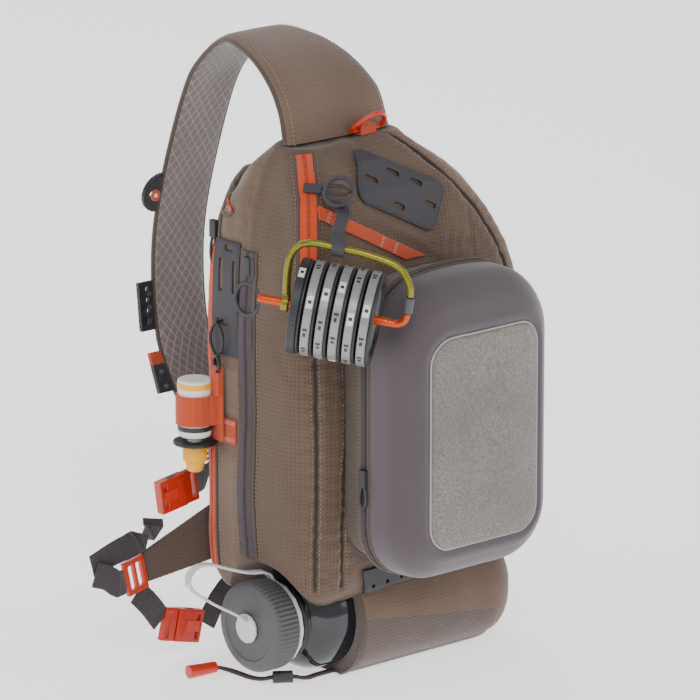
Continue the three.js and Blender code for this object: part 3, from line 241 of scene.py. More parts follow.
@dataclass(frozen=True)
class Finish:
    """One finish of the bag, from its colours to the feel of its surface.

    Attributes:
        name: name of the material.
        slot: name of the slot that pieces with it would belong to; not used.
        base: main colour, as a six-digit code.
        second: colour of the pattern.
        pattern: the surface pattern.
        pitch: repeat of the pattern, in millimetres.
        contrast: share of the second colour where the pattern is full.
        relief: depth of the relief, in millimetres.
        grain: scale of the fine grain.
        roughness: mean roughness.
        metallic: share of metal.
        sheen: strength of the cloth's sheen.
        coat: strength of the clear coat.
        tone: how much darker the soft patches are.
        wear: how pale the worn edges are.
        transmission: share of light that passes through.
    """

    name: str
    slot: str
    base: str
    second: str
    pattern: Pattern = Pattern.PLAIN
    pitch: float = 3.0
    contrast: float = 0.5
    relief: float = 0.3
    grain: float = 900.0
    roughness: float = 0.85
    metallic: float = 0.0
    sheen: float = 0.0
    coat: float = 0.0
    tone: float = 0.35
    wear: float = 0.3
    transmission: float = 0.0

    def make(self) -> bpy.types.Material:
        """Builds the material once and returns it."""
        known = bpy.data.materials.get(self.name)
        if known:
            return known
        material = bpy.data.materials.new(self.name)
        material.use_nodes = True
        tree = material.node_tree
        wire = Wiring(tree)
        shader = tree.nodes["Principled BSDF"]
        place = tree.nodes.new("ShaderNodeTexCoord")
        shape = tree.nodes.new("ShaderNodeNewGeometry")
        surface = wire.group(
            GROUPS["surface"], Vector=place.outputs["Object"], Pointiness=shape.outputs["Pointiness"],
            Grain=self.grain, Wear=self.wear,
        )
        mask, height = self.pattern_masks(wire, place, shape, surface)
        base, second = linear(self.base), linear(self.second)
        colour = wire.mix(wire.math("MULTIPLY", mask, self.contrast), base, second)
        tone = wire.math("MULTIPLY_ADD", surface.outputs["Tone"], TONE_GAIN, TONE_START, clamp=True)
        dark = (*[c * (1 - self.tone) for c in base[:3]], 1.0)
        colour = wire.mix(wire.math("MULTIPLY", tone, TONE_SHARE), colour, dark)
        pale = (*[min(1.0, c * WORN_GAIN + WORN_LIFT) for c in base[:3]], 1.0)
        colour = wire.mix(surface.outputs["Worn"], colour, pale)
        rough = wire.math("MULTIPLY_ADD", surface.outputs["Grain"], ROUGHNESS_SPREAD,
                          self.roughness - ROUGHNESS_SPREAD / 2, clamp=True)
        bump = tree.nodes.new("ShaderNodeBump")
        bump.inputs["Strength"].default_value = BUMP_STRENGTH
        bump.inputs["Distance"].default_value = self.relief * MM
        wire.put(bump.inputs["Height"], height)
        for key, value in {
            "Base Color": colour, "Roughness": rough, "Metallic": self.metallic,
            "Sheen Weight": self.sheen, "Sheen Roughness": 0.5, "Coat Weight": self.coat,
            "Transmission Weight": self.transmission, "Normal": bump.outputs["Normal"],
        }.items():
            wire.put(shader.inputs[key], value)
        return material

    def pattern_masks(
        self, wire: Wiring, place: bpy.types.Node, shape: bpy.types.Node, surface: bpy.types.Node,
    ) -> tuple[bpy.types.NodeSocket, bpy.types.NodeSocket]:
        """Adds the nodes of the pattern.

        Args:
            wire: the material's wiring.
            place: its texture coordinates.
            shape: its geometry node.
            surface: its shared surface noise.

        Returns:
            The mask between the two colours, and the height for the relief.
        """
        grain = surface.outputs["Grain"]
        if self.pattern in (Pattern.RIPSTOP, Pattern.DOTS):
            grid = wire.group(
                GROUPS["grid"], Vector=place.outputs["Object"], Normal=shape.outputs["Normal"],
                Pitch=self.pitch * MM,
            )
            mask = grid.outputs["Lines" if self.pattern is Pattern.RIPSTOP else "Dots"]
            sign = 0.8 if self.pattern is Pattern.RIPSTOP else -1.0
            return mask, wire.math("MULTIPLY_ADD", mask, sign, wire.math("MULTIPLY", grain, 0.5))
        if self.pattern in (Pattern.DIAMOND, Pattern.RIB):
            lattice = wire.group(GROUPS["diamond"], Vector=place.outputs["UV"], Pitch=self.pitch * MM)
            mask = lattice.outputs["Lines" if self.pattern is Pattern.DIAMOND else "Rib"]
            return mask, wire.math("MULTIPLY_ADD", grain, 0.4, mask)
        if self.pattern is Pattern.FELT:
            coarse = wire.noise(place.outputs["Object"], self.grain * 0.45, 5)
            mask = wire.math("MULTIPLY_ADD", coarse, 3.2, -1.1, clamp=True)
            return mask, coarse
        return grain, grain


RIPSTOP = Finish("brown_ripstop_cloth", "brown_ripstop", "6a5344", "7d6553", Pattern.RIPSTOP,
                 3.1, 0.5, 0.22, sheen=0.25)
# Painted shade: a darker copy of the brown ripstop, laid on the wing and on the tackle case's base cloth
# where they lie in shade.
SHADED_RIPSTOP = Finish("shaded_brown_ripstop", "brown_ripstop", "4b3b32", "5c4a3f", Pattern.RIPSTOP,
                    3.1, 0.5, 0.22, sheen=0.2)
TAN = Finish("tan_dotted_cloth", "tan_panel", "604b3c", "3b2c22", Pattern.DOTS,
             3.4, 0.75, 0.25, sheen=0.2)
SEAM = Finish("brown_seam_binding", "brown_ripstop", "514239", "40342c", relief=0.2, sheen=0.2)
SEAM_DARK = Finish("dark_seam_groove", "brown_ripstop", "33271f", "271d17", relief=0.15)
MESH = Finish("mauve_spacer_mesh", "mauve_mesh", "746866", "a59a97", Pattern.DIAMOND,
              8.0, 0.7, 0.5, 1400, sheen=0.35)
PAD = Finish("mauve_back_mesh", "mauve_mesh", "5a4a43", "6d5b52", Pattern.DOTS,
             3.0, 0.6, 0.5, 1400, sheen=0.3)
ZIP_ORANGE = Finish("orange_zipper_tape", "orange_zipper", "e04d18", "b93c10", Pattern.RIB,
                    1.1, 0.5, 0.3, sheen=0.2)
ZIP_MAUVE = Finish("mauve_zipper_tape", "mauve_zipper", "463b3f", "332a2e", Pattern.RIB,
                   1.1, 0.6, 0.3, sheen=0.2)
COIL = Finish("dark_zipper_coil", "mauve_zipper", "241c1e", "141011", roughness=0.5, relief=0.1)
COIL_ORANGE = Finish("orange_zipper_coil", "orange_zipper", "8f2f12", "6a1f0b",
                     roughness=0.5, relief=0.1)
SHELL = Finish("moulded_foam_shell", "moulded_shell", "4a4045", "574b50", grain=1500,
               roughness=0.78, relief=0.12, sheen=0.35, tone=0.15, wear=0.1, contrast=0.4)
FELT = Finish("grey_felt", "felt", "67625c", "8e8983", Pattern.FELT, grain=1300, contrast=0.9,
              roughness=0.95, relief=0.5, sheen=0.3, tone=0.12)
PATCH_EDGE = Finish("pale_patch_edge", "felt", "aaa8a2", "97958f", roughness=0.8, relief=0.1)
PULL = Finish("dark_zip_pull", "dark_pull", "2d2c30", "3c3b40", roughness=0.5, relief=0.08)
RUBBER = Finish("grey_rubber_sheet", "grey_rubber", "353237", "434045",
                roughness=0.62, relief=0.1, wear=0.5, tone=0.2)
WEB_ORANGE = Finish("orange_woven_webbing", "orange_webbing", "c94a1c", "a03812", Pattern.RIPSTOP,
                    1.3, 0.6, 0.3, sheen=0.2)
WEB_DARK = Finish("dark_woven_webbing", "dark_webbing", "3a3033", "292124", Pattern.RIPSTOP,
                  1.3, 0.6, 0.3, sheen=0.2)
RED = Finish("red_moulded_plastic", "red_plastic", "cd3012", "b2270c",
             roughness=0.38, coat=0.15, relief=0.05, wear=0.25)
OLIVE = Finish("olive_anodised_metal", "olive_metal", "8c8434", "7b742b",
               roughness=0.33, metallic=0.75, relief=0.04)
GREY = Finish("grey_ribbed_plastic", "grey_plastic", "505051", "444445",
              roughness=0.5, relief=0.08, tone=0.15)
ORANGE_METAL = Finish("orange_anodised_metal", "orange_metal", "d2501c", "bb4315",
                      roughness=0.32, metallic=0.6, relief=0.04)
SPOOL = Finish("silver_spool_plastic", "spool_plastic", "8d8d8b", "777775",
               roughness=0.36, metallic=0.3, coat=0.2, relief=0.05)
LABEL = Finish("white_spool_label", "spool_plastic", "cfcfca", "bfbfba",
               roughness=0.5, tone=0.06, relief=0.03)
BLACK = Finish("black_moulded_plastic", "black_plastic", "1b1b1d", "29292b",
               roughness=0.45, relief=0.08, tone=0.2)
VIAL = Finish("frosted_vial_plastic", "vial_plastic", "e3e0d6", "f0eee8",
              roughness=0.35, coat=0.2, tone=0.08, relief=0.03)
YELLOW = Finish("yellow_moulded_plastic", "yellow_plastic", "f4a907", "de9206",
                roughness=0.4, coat=0.15, tone=0.12, relief=0.04)
SMOKE = Finish("smoke_bottle_plastic", "smoke_bottle", "26282c", "34373c",
               roughness=0.12, coat=0.4, tone=0.2, relief=0.02, transmission=0.35)
CLEAR = Finish("clear_strap_plastic", "clear_strap", "dedfdf", "cfd0d1",
               roughness=0.3, coat=0.2, tone=0.05, relief=0.03, transmission=0.15)
CORD = Finish("brown_braided_cord", "brown_cord", "3d302b", "6a5a50", Pattern.RIB, 1.4, 0.7, 0.4)
THREAD = Finish("pale_thread", "brown_ripstop", "97887a", "857667", roughness=0.7, relief=0.05)
THREAD_WHITE = Finish("white_thread", "brown_ripstop", "e3ddd6", "cfc8c0",
                      roughness=0.7, relief=0.05)


# Mesh building

def mesh_of(bm: bmesh.types.BMesh, name: str) -> bpy.types.Mesh:
    """Writes a bmesh into a new mesh, and frees it."""
    mesh = bpy.data.meshes.new(name)
    bm.to_mesh(mesh)
    bm.free()
    return mesh


def in_scene(name: str, data: bpy.types.ID) -> bpy.types.Object:
    """Makes an object of a mesh, lamp or camera, and links it to the scene."""
    made = bpy.data.objects.new(name, data)
    bpy.context.scene.collection.objects.link(made)
    return made


def piece(
    bm: bmesh.types.BMesh, name: str, finishes: list[Finish], body: str = BAG,
    angle: float = 38, nodes: tuple[str, ...] = (),
) -> bpy.types.Object:
    """Turns a bmesh into a finished piece of the bag.

    Args:
        bm: the mesh, which is freed.
        name: name of the piece.
        finishes: its finishes, in the order of its material numbers.
        body: the body that it rides on.
        angle: smallest angle of a sharp edge, in degrees.
        nodes: the solids that it stands for.

    Returns:
        The new object.
    """
    return dress(mesh_of(bm, name), name, finishes, body, angle, nodes)


def dress(
    mesh: bpy.types.Mesh, name: str, finishes: list[Finish], body: str, angle: float, nodes: tuple[str, ...],
) -> bpy.types.Object:
    """Makes the object of a mesh, with its finishes, shading, body and solids.

    Args:
        mesh: the mesh.
        name: name of the piece.
        finishes: its finishes, in the order of its material numbers.
        body: the body that it rides on.
        angle: smallest angle of a sharp edge, in degrees.
        nodes: the solids that it stands for.

    Returns:
        The new object.
    """
    for finish in finishes:
        mesh.materials.append(finish.make())
    mesh.shade_smooth()
    mesh.set_sharp_from_angle(angle=math.radians(angle))
    made = in_scene(name, mesh)
    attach(made, body)
    if nodes:
        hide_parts(*nodes)
    LOG.info("%s: %d faces", name, len(mesh.polygons))
    return made


def lofted(rings: list[list[Vector]], wrap: bool = True, ends: bool = True) -> bmesh.types.BMesh:
    """Skins a row of rings with quads, and maps it in metres round and along.

    Args:
        rings: rings of equal point count, along the piece.
        wrap: whether each ring closes on itself.
        ends: whether the first and last rings are filled.

    Returns:
        The mesh, with its faces pointing outwards.
    """
    bm = bmesh.new()
    columns, rows = len(rings[0]) + (1 if wrap else 0), len(rings)
    bmesh.ops.create_grid(bm, x_segments=columns - 1, y_segments=rows - 1, size=1)
    ordered = sorted(bm.verts, key=lambda v: (round(v.co.y, 5), round(v.co.x, 5)))
    place = {}
    along = 0.0
    for row, ring in enumerate(rings):
        if row:
            along += (sum(ring, Vector()) - sum(rings[row - 1], Vector())).length / len(ring)
        around = 0.0
        for column in range(columns):
            point = ring[column % len(ring)]
            if column:
                around += (point - ring[column - 1]).length
            vert = ordered[row * columns + column]
            vert.co = point
            place[vert] = (around, along)
    layer = bm.loops.layers.uv.new("UVMap")
    for face in bm.faces:
        for loop in face.loops:
            loop[layer].uv = place[loop.vert]
    if wrap:
        bmesh.ops.remove_doubles(bm, verts=bm.verts, dist=FINE_MERGE)
    if ends:
        bmesh.ops.holes_fill(bm, edges=[e for e in bm.edges if e.is_boundary], sides=0)
    bmesh.ops.recalc_face_normals(bm, faces=bm.faces)
    return bm


def drawn_in(ring: list[Vector], shares: tuple[float, ...]) -> list[list[Vector]]:
    """Gives copies of a ring drawn in towards its middle, one for each share of its size."""
    middle = sum(ring, Vector()) / len(ring)
    return [[middle.lerp(p, share) for p in ring] for share in shares]


def split_long(bm: bmesh.types.BMesh, longest: float, cuts: int) -> None:
    """Cuts every edge that is longer than a length in metres."""
    edges = [e for e in bm.edges if e.calc_length() > longest]
    bmesh.ops.subdivide_edges(bm, edges=edges, cuts=cuts, use_grid_fill=True)


def resample(points: list[Vector], count: int, closed: bool = False) -> list[Vector]:
    """Places points evenly along a line of points.

    Args:
        points: the line.
        count: how many points come back.
        closed: whether the line returns to its start.

    Returns:
        The new points.
    """
    line = points + [points[0]] if closed else points
    steps = [0.0]
    for a, b in zip(line, line[1:]):
        steps.append(steps[-1] + (b - a).length)
    made, index = [], 0
    for i in range(count):
        want = steps[-1] * i / (count if closed else count - 1)
        while index < len(steps) - 2 and steps[index + 1] < want:
            index += 1
        span = max(1e-12, steps[index + 1] - steps[index])
        made.append(line[index].lerp(line[index + 1], min(1.0, (want - steps[index]) / span)))
    return made


def fours(points: list[Vector]) -> list[tuple[Vector, ...]]:
    """Gives the points of a line in fours, with the line carried on past both its ends."""
    ext = [points[0] * 2 - points[1], *points, points[-1] * 2 - points[-2]]
    return list(zip(ext, ext[1:], ext[2:], ext[3:]))


def spline(
    a: Vector | float, b: Vector | float, c: Vector | float, d: Vector | float, t: float,
) -> Vector | float:
    """Gives the value at a share t of the way from b to c, on the smooth curve through all four."""
    return 0.5 * (2 * b + (c - a) * t + (2 * a - 5 * b + 4 * c - d) * t * t
                  + (3 * b - a - 3 * c + d) * t ** 3)


def eased(points: list[Vector], count: int) -> list[Vector]:
    """Draws a smooth curve through the points and returns count points on it."""
    fine = [spline(*four, i / EASE_STEPS) for four in fours(points) for i in range(EASE_STEPS)]
    return resample([*fine, points[-1]], count)


def section(width: float, height: float, corner: float = 0.3, arc: int = 2) -> list[Pair]:
    """Gives a flat section with rounded corners, in millimetres.

    Args:
        width: its width.
        height: its height above its base.
        corner: radius of its corners.
        arc: steps in each corner.

    Returns:
        Its points, as pairs across and out from its base.
    """
    made = []
    corner = min(corner, height * 0.49, width * 0.49)
    spots = ((width / 2 - corner, corner, -90), (width / 2 - corner, height - corner, 0),
             (corner - width / 2, height - corner, 90), (corner - width / 2, corner, 180))
    for x, y, start in spots:
        for i in range(arc + 1):
            a = math.radians(start + 90 * i / arc)
            made.append((x + corner * math.cos(a), y + corner * math.sin(a)))
    return made


def round_section(radius: float, sides: int = 10, lift: float = 0.0) -> list[Pair]:
    """Gives a round section in millimetres, lifted from its base."""
    turns = [TURN * i / sides for i in range(sides)]
    return [(radius * math.cos(a), lift + radius * math.sin(a)) for a in turns]


def swept(
    points: list[Vector], normals: list[Vector], profile: list[Pair], closed: bool = False,
) -> bmesh.types.BMesh:
    """Runs a section along a line.

    Args:
        points: the line.
        normals: the outward direction at each of its points.
        profile: the section, across and out, in millimetres.
        closed: whether the line returns to its start.

    Returns:
        The mesh.
    """
    rings = []
    count = len(points)
    for i, (point, normal) in enumerate(zip(points, normals)):
        before = points[(i - 1) % count] if closed or i else point
        after = points[(i + 1) % count] if closed or i < count - 1 else point
        tangent = (after - before).normalized()
        side = normal.cross(tangent).normalized()
        out = tangent.cross(side).normalized()
        rings.append([point + (side * a + out * b) * MM for a, b in profile])
    if closed:
        rings.append(rings[0])
    bm = lofted(rings, ends=not closed)
    if closed:
        bmesh.ops.remove_doubles(bm, verts=bm.verts, dist=FINE_MERGE)
        bmesh.ops.recalc_face_normals(bm, faces=bm.faces)
    return bm


def spun(origin: Vector, axis: Vector, profile: list[Pair], steps: int = 48) -> bmesh.types.BMesh:
    """Turns a profile round an axis.

    Args:
        origin: a point on the axis.
        axis: its direction.
        profile: radius and place along the axis, in millimetres.
        steps: how many steps make the turn.

    Returns:
        The closed mesh.
    """
    bm = bmesh.new()
    axis = axis.normalized()
    across = axis.orthogonal().normalized()
    verts = [bm.verts.new(origin + (across * r + axis * u) * MM) for r, u in profile]
    edges = [bm.edges.new(pair) for pair in zip(verts, verts[1:])]
    if profile[0][0] > 1e-6 and (Vector(profile[0]) - Vector(profile[-1])).length > 1e-6:
        edges.append(bm.edges.new((verts[-1], verts[0])))
    bmesh.ops.spin(bm, geom=verts + edges, cent=origin, axis=axis, angle=TURN, steps=steps, use_merge=True)
    bmesh.ops.remove_doubles(bm, verts=bm.verts, dist=MERGE)
    bmesh.ops.recalc_face_normals(bm, faces=bm.faces)
    return bm


def stud(name: str, spot: Vector, profile: list[Pair], finish: Finish, steps: int = 20) -> None:
    """Sets a small turned rivet on the front of a plate.

    Args:
        name: name of the piece.
        spot: where it stands.
        profile: its radius and height, in millimetres.
        finish: its finish.
        steps: how many steps make the turn.
    """
    piece(spun(spot, FRONT, profile, steps), name, [finish])


def ribbed(
    profile: tuple[tuple[float, float, int], ...], ribs: int, depth: float, place: Callable[..., Vector],
) -> bmesh.types.BMesh:
    """Turns a profile whose marked rows carry fine ribs.

    Args:
        profile: radius and place along the axis in millimetres, and 1 where the row is ribbed.
        ribs: number of ribs, each with four points.
        depth: how far a rib swings out and in, in millimetres.
        place: gives the point for a place along the axis and two across it.

    Returns:
        The mesh.
    """
    rows = []
    for radius, along, marked in profile:
        ring = []
        for i in range(ribs * 4):
            a = TURN * i / (ribs * 4)
            r = radius + (depth * math.cos(ribs * a) if marked else 0)
            ring.append(place(along, r * math.cos(a), r * math.sin(a)))
        rows.append(ring)
    return lofted(rows)


def evaluated(made: bpy.types.Object) -> bpy.types.Mesh:
    """Applies the modifiers of an object and returns the mesh."""
    graph = bpy.context.evaluated_depsgraph_get()
    mesh = bpy.data.meshes.new_from_object(made.evaluated_get(graph))
    made.modifiers.clear()
    return mesh


def finer(made: bpy.types.Object) -> None:
    """Adds one level of smooth faces to a piece, as a modifier."""
    level = made.modifiers.new("finer", "SUBSURF")
    level.levels = level.render_levels = 1
    level.use_limit_surface = False


def moulded(
    node: str, finish: Finish, voxel: float = 0.6, rounds: int = 5, name: str = "", body: str = BAG,
    keep: float = 1.0,
) -> bpy.types.Object:
    """Rounds the edges of one solid as its mould, wire or cut would, and dresses it.

    Args:
        node: the solid.
        finish: its finish.
        voxel: size of the finest detail, in millimetres.
        rounds: how far the edges are softened.
        name: name of the piece.
        body: the body that it rides on.
        keep: share of the faces that are kept.

    Returns:
        The new piece.
    """
    bm = bmesh.new()
    bm.from_mesh(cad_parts[node].data)
    bmesh.ops.remove_doubles(bm, verts=bm.verts, dist=MERGE)
    rough = in_scene(f"{node}_rough", mesh_of(bm, f"{node}_rough"))
    remesh = rough.modifiers.new("voxels", "REMESH")
    remesh.mode = "VOXEL"
    remesh.voxel_size = voxel * MM
    smooth = rough.modifiers.new("soft", "SMOOTH")
    smooth.factor = 0.5
    smooth.iterations = rounds
    if keep < 1:
        rough.modifiers.new("fewer", "DECIMATE").ratio = keep
    mesh = evaluated(rough)
    bpy.data.objects.remove(rough)
    mesh.materials.clear()
    return dress(mesh, name or f"{node}_finished", [finish], body, 60, (node,))


def facing(*axes: Vector) -> Matrix:
    """Gives the turn that lays x, y and z along three directions."""
    return Matrix(axes).transposed().to_4x4()


def stretch(x: float, y: float, z: float) -> Matrix:
    """Gives the scaling to a size in millimetres."""
    return Matrix.Diagonal((x * MM, y * MM, z * MM, 1))


def beads(
    name: str, spots: list[Vector], outs: list[Vector], finish: Finish,
    size: tuple[float, float, float], lift: float = 0.0, closed: bool = False,
) -> bpy.types.Object:
    """Sets a row of small rounded beads on a line, as stitches or zipper teeth.

    Args:
        name: name of the row.
        spots: place of each bead.
        outs: outward direction at each.
        finish: finish of the row.
        size: half sizes along, across and out, in millimetres.
        lift: height over the line, in millimetres.
        closed: whether the line returns to its start.

    Returns:
        The row as one piece.
    """
    bm = bmesh.new()
    count = len(spots)
    for i, (spot, out) in enumerate(zip(spots, outs)):
        before, after = i - 1, i + 1
        if closed:
            after %= count
        else:
            before, after = max(before, 0), min(after, count - 1)
        tangent = (spots[after] - spots[before]).normalized()
        side = out.cross(tangent).normalized()
        turn = facing(tangent, side, tangent.cross(side).normalized())
        at = Matrix.Translation(spot + out * lift * MM)
        bmesh.ops.create_icosphere(bm, subdivisions=1, radius=1, matrix=at @ turn @ stretch(*size))
    return piece(bm, name, [finish], angle=180)


def run_length(points: list[Vector]) -> float:
    """Measures a line, in metres."""
    return sum((b - a).length for a, b in zip(points, points[1:]))


def stitched(
    name: str, points: list[Vector], normals: list[Vector], thread: Finish, pitch: float = 3.2,
    length: float = 2.2, width: float = 0.7,
) -> bpy.types.Object:
    """Sews a row of stitches along a line.

    Args:
        name: name of the row.
        points: the line.
        normals: outward directions along it.
        thread: finish of the thread.
        pitch: distance between stitches in millimetres.
        length: length of one stitch.
        width: its width.

    Returns:
        The row as one piece.
    """
    count = max(2, round(run_length(points) / MM / pitch))
    spots, outs = resample(points, count), resample(normals, count)
    return beads(name, spots, outs, thread, (length / 2, width / 2, width / 2))


def solid_tree(*nodes: str) -> BVHTree:
    """Gives a search tree over the faces of some of the solids."""
    bm = bmesh.new()
    for node in nodes:
        bm.from_mesh(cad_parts[node].data)
    tree = BVHTree.FromBMesh(bm)
    bm.free()
    return tree


def place_points(mesh: bpy.types.Mesh, places: list[Vector]) -> None:
    """Moves every point of a mesh to a new place in one step."""
    mesh.vertices.foreach_set("co", [value for place in places for value in place])
    mesh.update()


def sort_faces(mesh: bpy.types.Mesh, chosen: list[bool]) -> None:
    """Gives the chosen faces of a mesh its second material, in one step."""
    mesh.polygons.foreach_set("material_index", [int(flag) for flag in chosen])
    mesh.update()


def puffed(made: bpy.types.Object, pressure: float, cap: float) -> None:
    """Swells a padded piece with a short cloth simulation.

    Args:
        made: the piece, whose mesh is replaced.
        pressure: pressure inside it.
        cap: farthest that a point may move, in millimetres.
    """
    frames = 20
    rest = [v.co.copy() for v in made.data.vertices]
    cloth = made.modifiers.new("pad", "CLOTH")
    settings = cloth.settings
    settings.use_pressure = True
    settings.uniform_pressure_force = pressure
    settings.quality = 4
    settings.tension_stiffness = 25
    settings.bending_stiffness = 4
    settings.effector_weights.gravity = 0
    scene = bpy.context.scene
    for step in range(1, frames + 1):
        scene.frame_set(step)
    graph = bpy.context.evaluated_depsgraph_get()
    moved = [v.co.copy() for v in made.evaluated_get(graph).data.vertices]
    made.modifiers.remove(cloth)
    scene.frame_set(1)
    places = []
    for start, end in zip(rest, moved):
        shift = end - start
        if shift.length > cap * MM:
            shift *= cap * MM / shift.length
        places.append(start + shift)
    place_points(made.data, places)


# The bag's body

def table_value(rows: tuple[tuple[float, ...], ...], share: float, column: int) -> float:
    """Reads one column of a table of shares, in between its rows.

    Args:
        rows: the table, whose first column is the share.
        share: where to read it.
        column: which column to read.

    Returns:
        The value there.
    """
    share = min(max(share, rows[0][0]), rows[-1][0])
    for low, high in zip(rows, rows[1:]):
        if share <= high[0]:
            t = (share - low[0]) / (high[0] - low[0])
            return low[column] + (high[column] - low[column]) * t
    return rows[-1][column]


def rounded_ring(low: Pair, high: Pair, radii: Pair, arc: int = 10) -> list[Pair]:
    """Gives a rectangle with rounded corners as pairs, from the low left corner on."""
    room = min(high[0] - low[0], high[1] - low[1]) / 2
    near, far = (max(0.5, min(r, room * 0.98)) for r in radii)
    corners = ((low[0] + near, low[1] + near, near, 180), (high[0] - near, low[1] + near, near, 270),
               (high[0] - far, high[1] - far, far, 0), (low[0] + far, high[1] - far, far, 90))
    made = []
    for x, y, radius, start in corners:
        for i in range(arc + 1):
            a = math.radians(start + 90 * i / arc)
            made.append((x + radius * math.cos(a), y + radius * math.sin(a)))
    return made


@dataclass
class BagBody:
    """The two cloth compartments, their seams and their zippers. Sizes are in millimetres."""

    bottom: float = 66
    height: float = 361
    left: float = 112
    right: float = 131
    front: float = 60
    back: float = 70
    front_corner: float = 22
    back_corner: float = 24
    split: float = 16
    around: int = 168
    rows: int = 84
    strip_edge: float = 0.9
    crease_start: float = 0.86
    crease_depth: float = 9
    slack_from: float = 300
    slack_over: float = 80
    seam_reach: float = 26
    groove: float = 2.0
    ripple_pitch: float = 11
    sections: tuple = (
        (0.00, 0.94, 0.82, 0.86, 0.86), (0.03, 0.98, 0.88, 0.97, 0.95), (0.12, 1.00, 0.92, 1.00, 0.99),
        (0.30, 1.00, 0.98, 1.00, 1.00), (0.47, 1.00, 1.00, 1.00, 1.00), (0.62, 1.00, 0.97, 1.00, 0.99),
        (0.72, 0.995, 0.87, 1.00, 0.94), (0.82, 0.97, 0.69, 0.97, 0.83), (0.90, 0.93, 0.49, 0.88, 0.67),
        (0.96, 0.85, 0.33, 0.66, 0.46), (1.00, 0.74, 0.22, 0.36, 0.28),
    )

    def reach(self, z: float) -> tuple[float, float, float, float]:
        """Gives the left, right, front and back reaches at a height, in millimetres."""
        share = (z - self.bottom) / self.height
        smooth = [sum(table_value(self.sections, share + step, c) for step in (-0.012, 0, 0.012)) / 3
                  for c in range(1, 5)]
        return -self.left * smooth[0], self.right * smooth[1], -self.front * smooth[2], self.back * smooth[3]

    def ring(self, z: float, shrink: float = 1.0) -> list[Vector]:
        """Gives one level ring of the body, drawn in towards its middle by a share."""
        left, right, front, back = self.reach(z)
        plain = rounded_ring((left, front), (right, back), (self.front_corner, self.back_corner))
        middle = Vector(((left + right) / 2, (front + back) / 2, z))
        ring = [middle.lerp(Vector((x, y, z)), shrink) * MM for x, y in plain]
        return resample(ring, self.around, closed=True)

    def build(self) -> None:
        """Builds the whole body."""
        top = self.bottom + self.height
        rings = [self.ring(self.bottom + 0.4, share) for share in (0.15, 0.45, 0.75, 0.93)]
        for row in range(self.rows + 1):
            rings.append(self.ring(self.bottom + self.height * row / self.rows))
        rings += [self.ring(top - 0.2, share) for share in (0.88, 0.6, 0.25)]
        nodes = ("main_compartment", "front_compartment")
        shell = piece(lofted(rings), "bag_shell", [RIPSTOP, TAN], nodes=nodes, angle=80)
        puffed(shell, 2.0, 3.0)
        finer(shell)
        shell.data = evaluated(shell)
        shell.data.shade_smooth()
        self.seams(shell)
        self.panels(shell)
        self.tree = BVHTree.FromObject(shell, bpy.context.evaluated_depsgraph_get())
        self.zippers()
        self.stitching()

    def edge(self, right: float) -> float:
        """Gives where the plain strip beside the dotted cloth begins, from the body's right reach."""
        return right - self.front_corner * self.strip_edge

    def seam_lines(self) -> list[tuple[list[Vector], float, float]]:
        """Gives the sewn seams.

        Returns:
            The line of each seam, with its depth and its pucker in millimetres.
        """
        span = [self.bottom + self.height * i / 70 for i in range(71)]
        foot, top = 78, span[-1]
        side, corner = self.split - 2, self.front_corner * 0.42
        upright = (
            (foot, 300, 3.0, 1.1,
             lambda z, left, _, front: (left + corner + 3 * math.sin((z - foot) / 70), front + 1)),
            (foot, 425, 1.0, 0.5, lambda z, left, _, front: (left, side)),
            (foot, 330, 2.6, 1.0, lambda z, left, _, front: (-75 + 2 * math.sin(z / 30), front)),
            (110, top, 2.2, 0.8, lambda z, _, right, front: (self.edge(right), front + 1)),
            (90, top, 1.0, 0.5, lambda z, _, right, front: (right, side)),
        )
        lines = []
        for low, high, depth, pucker, place in upright:
            line = [mm(*place(z, *self.reach(z)[:3]), z) for z in span if low <= z <= high]
            lines.append((line, depth, pucker))
        front = self.reach(300)[2]
        level = [mm(x, front, 345 - (x + 20) * 0.08) for x in range(-84, 60, 3)]
        return [*lines, (level, 1.2, 0.6)]

    def folds(self, co: Vector) -> float:
        """Gives how far the cloth swells or sinks at a point away from its seams, in millimetres."""
        x, y, z = co
        soft = noise.noise(co * 16) * 1.5 + noise.noise(Vector((x * 34, y * 34, z * 22)) + UP * 9) * 0.9
        crease = 1 - abs(noise.noise(Vector((x * 22 + z * 9, y * 20, z * 11 - x * 6))))
        sharp = max(0.0, crease - self.crease_start) * self.crease_depth
        soft -= sharp * (0.4 + noise.noise(co * 9 + UP * 3))
        upper = min(1.0, max(0.0, (z / MM - self.slack_from) / self.slack_over))
        return soft + noise.noise(Vector((x * 55 + z * 30, y * 40, z * 18))) * 2.0 * upper

    def seams(self, shell: bpy.types.Object) -> None:
        """Presses the seams into the cloth, and gives it its puckers, soft folds and arch over the bottle."""
        self.fittings = solid_tree(
            "side_patch", "top_patch", "accent_webbing", "side_webbing_loop",
            "lower_strip_left", "lower_strip_right",
        )
        self.solids = solid_tree("main_compartment", "front_compartment")
        lines = self.seam_lines()
        tree = KDTree(sum(len(line) * 4 for line, _, _ in lines))
        facts = []
        for number, (line, depth, pucker) in enumerate(lines):
            fine = resample(line, len(line) * 4)
            for i, point in enumerate(fine):
                tree.insert(point, len(facts))
                facts.append((number, i * (fine[1] - fine[0]).length, depth, pucker))
        tree.balance()
        places = []
        for co, normal in [(v.co.copy(), v.normal.copy()) for v in shell.data.vertices]:
            soft = self.folds(co)
            _, index, away = tree.find(co)
            number, run, depth, pucker = facts[index]
            d = away / MM
            if d < self.seam_reach:
                ripple = math.sin(run / MM * TURN / self.ripple_pitch + number + 2.2 * noise.noise(co * 30))
                pressed = math.exp(-(d / self.groove) ** 2)
                soft -= depth * pressed
                soft += pucker * ripple * math.exp(-d / 8) * (1 - pressed)
                soft += 0.9 * math.exp(-((d - 8) / 5) ** 2)
            places.append(self.clear_sleeve(self.clear_fittings(co + normal * soft * MM)))
        place_points(shell.data, places)

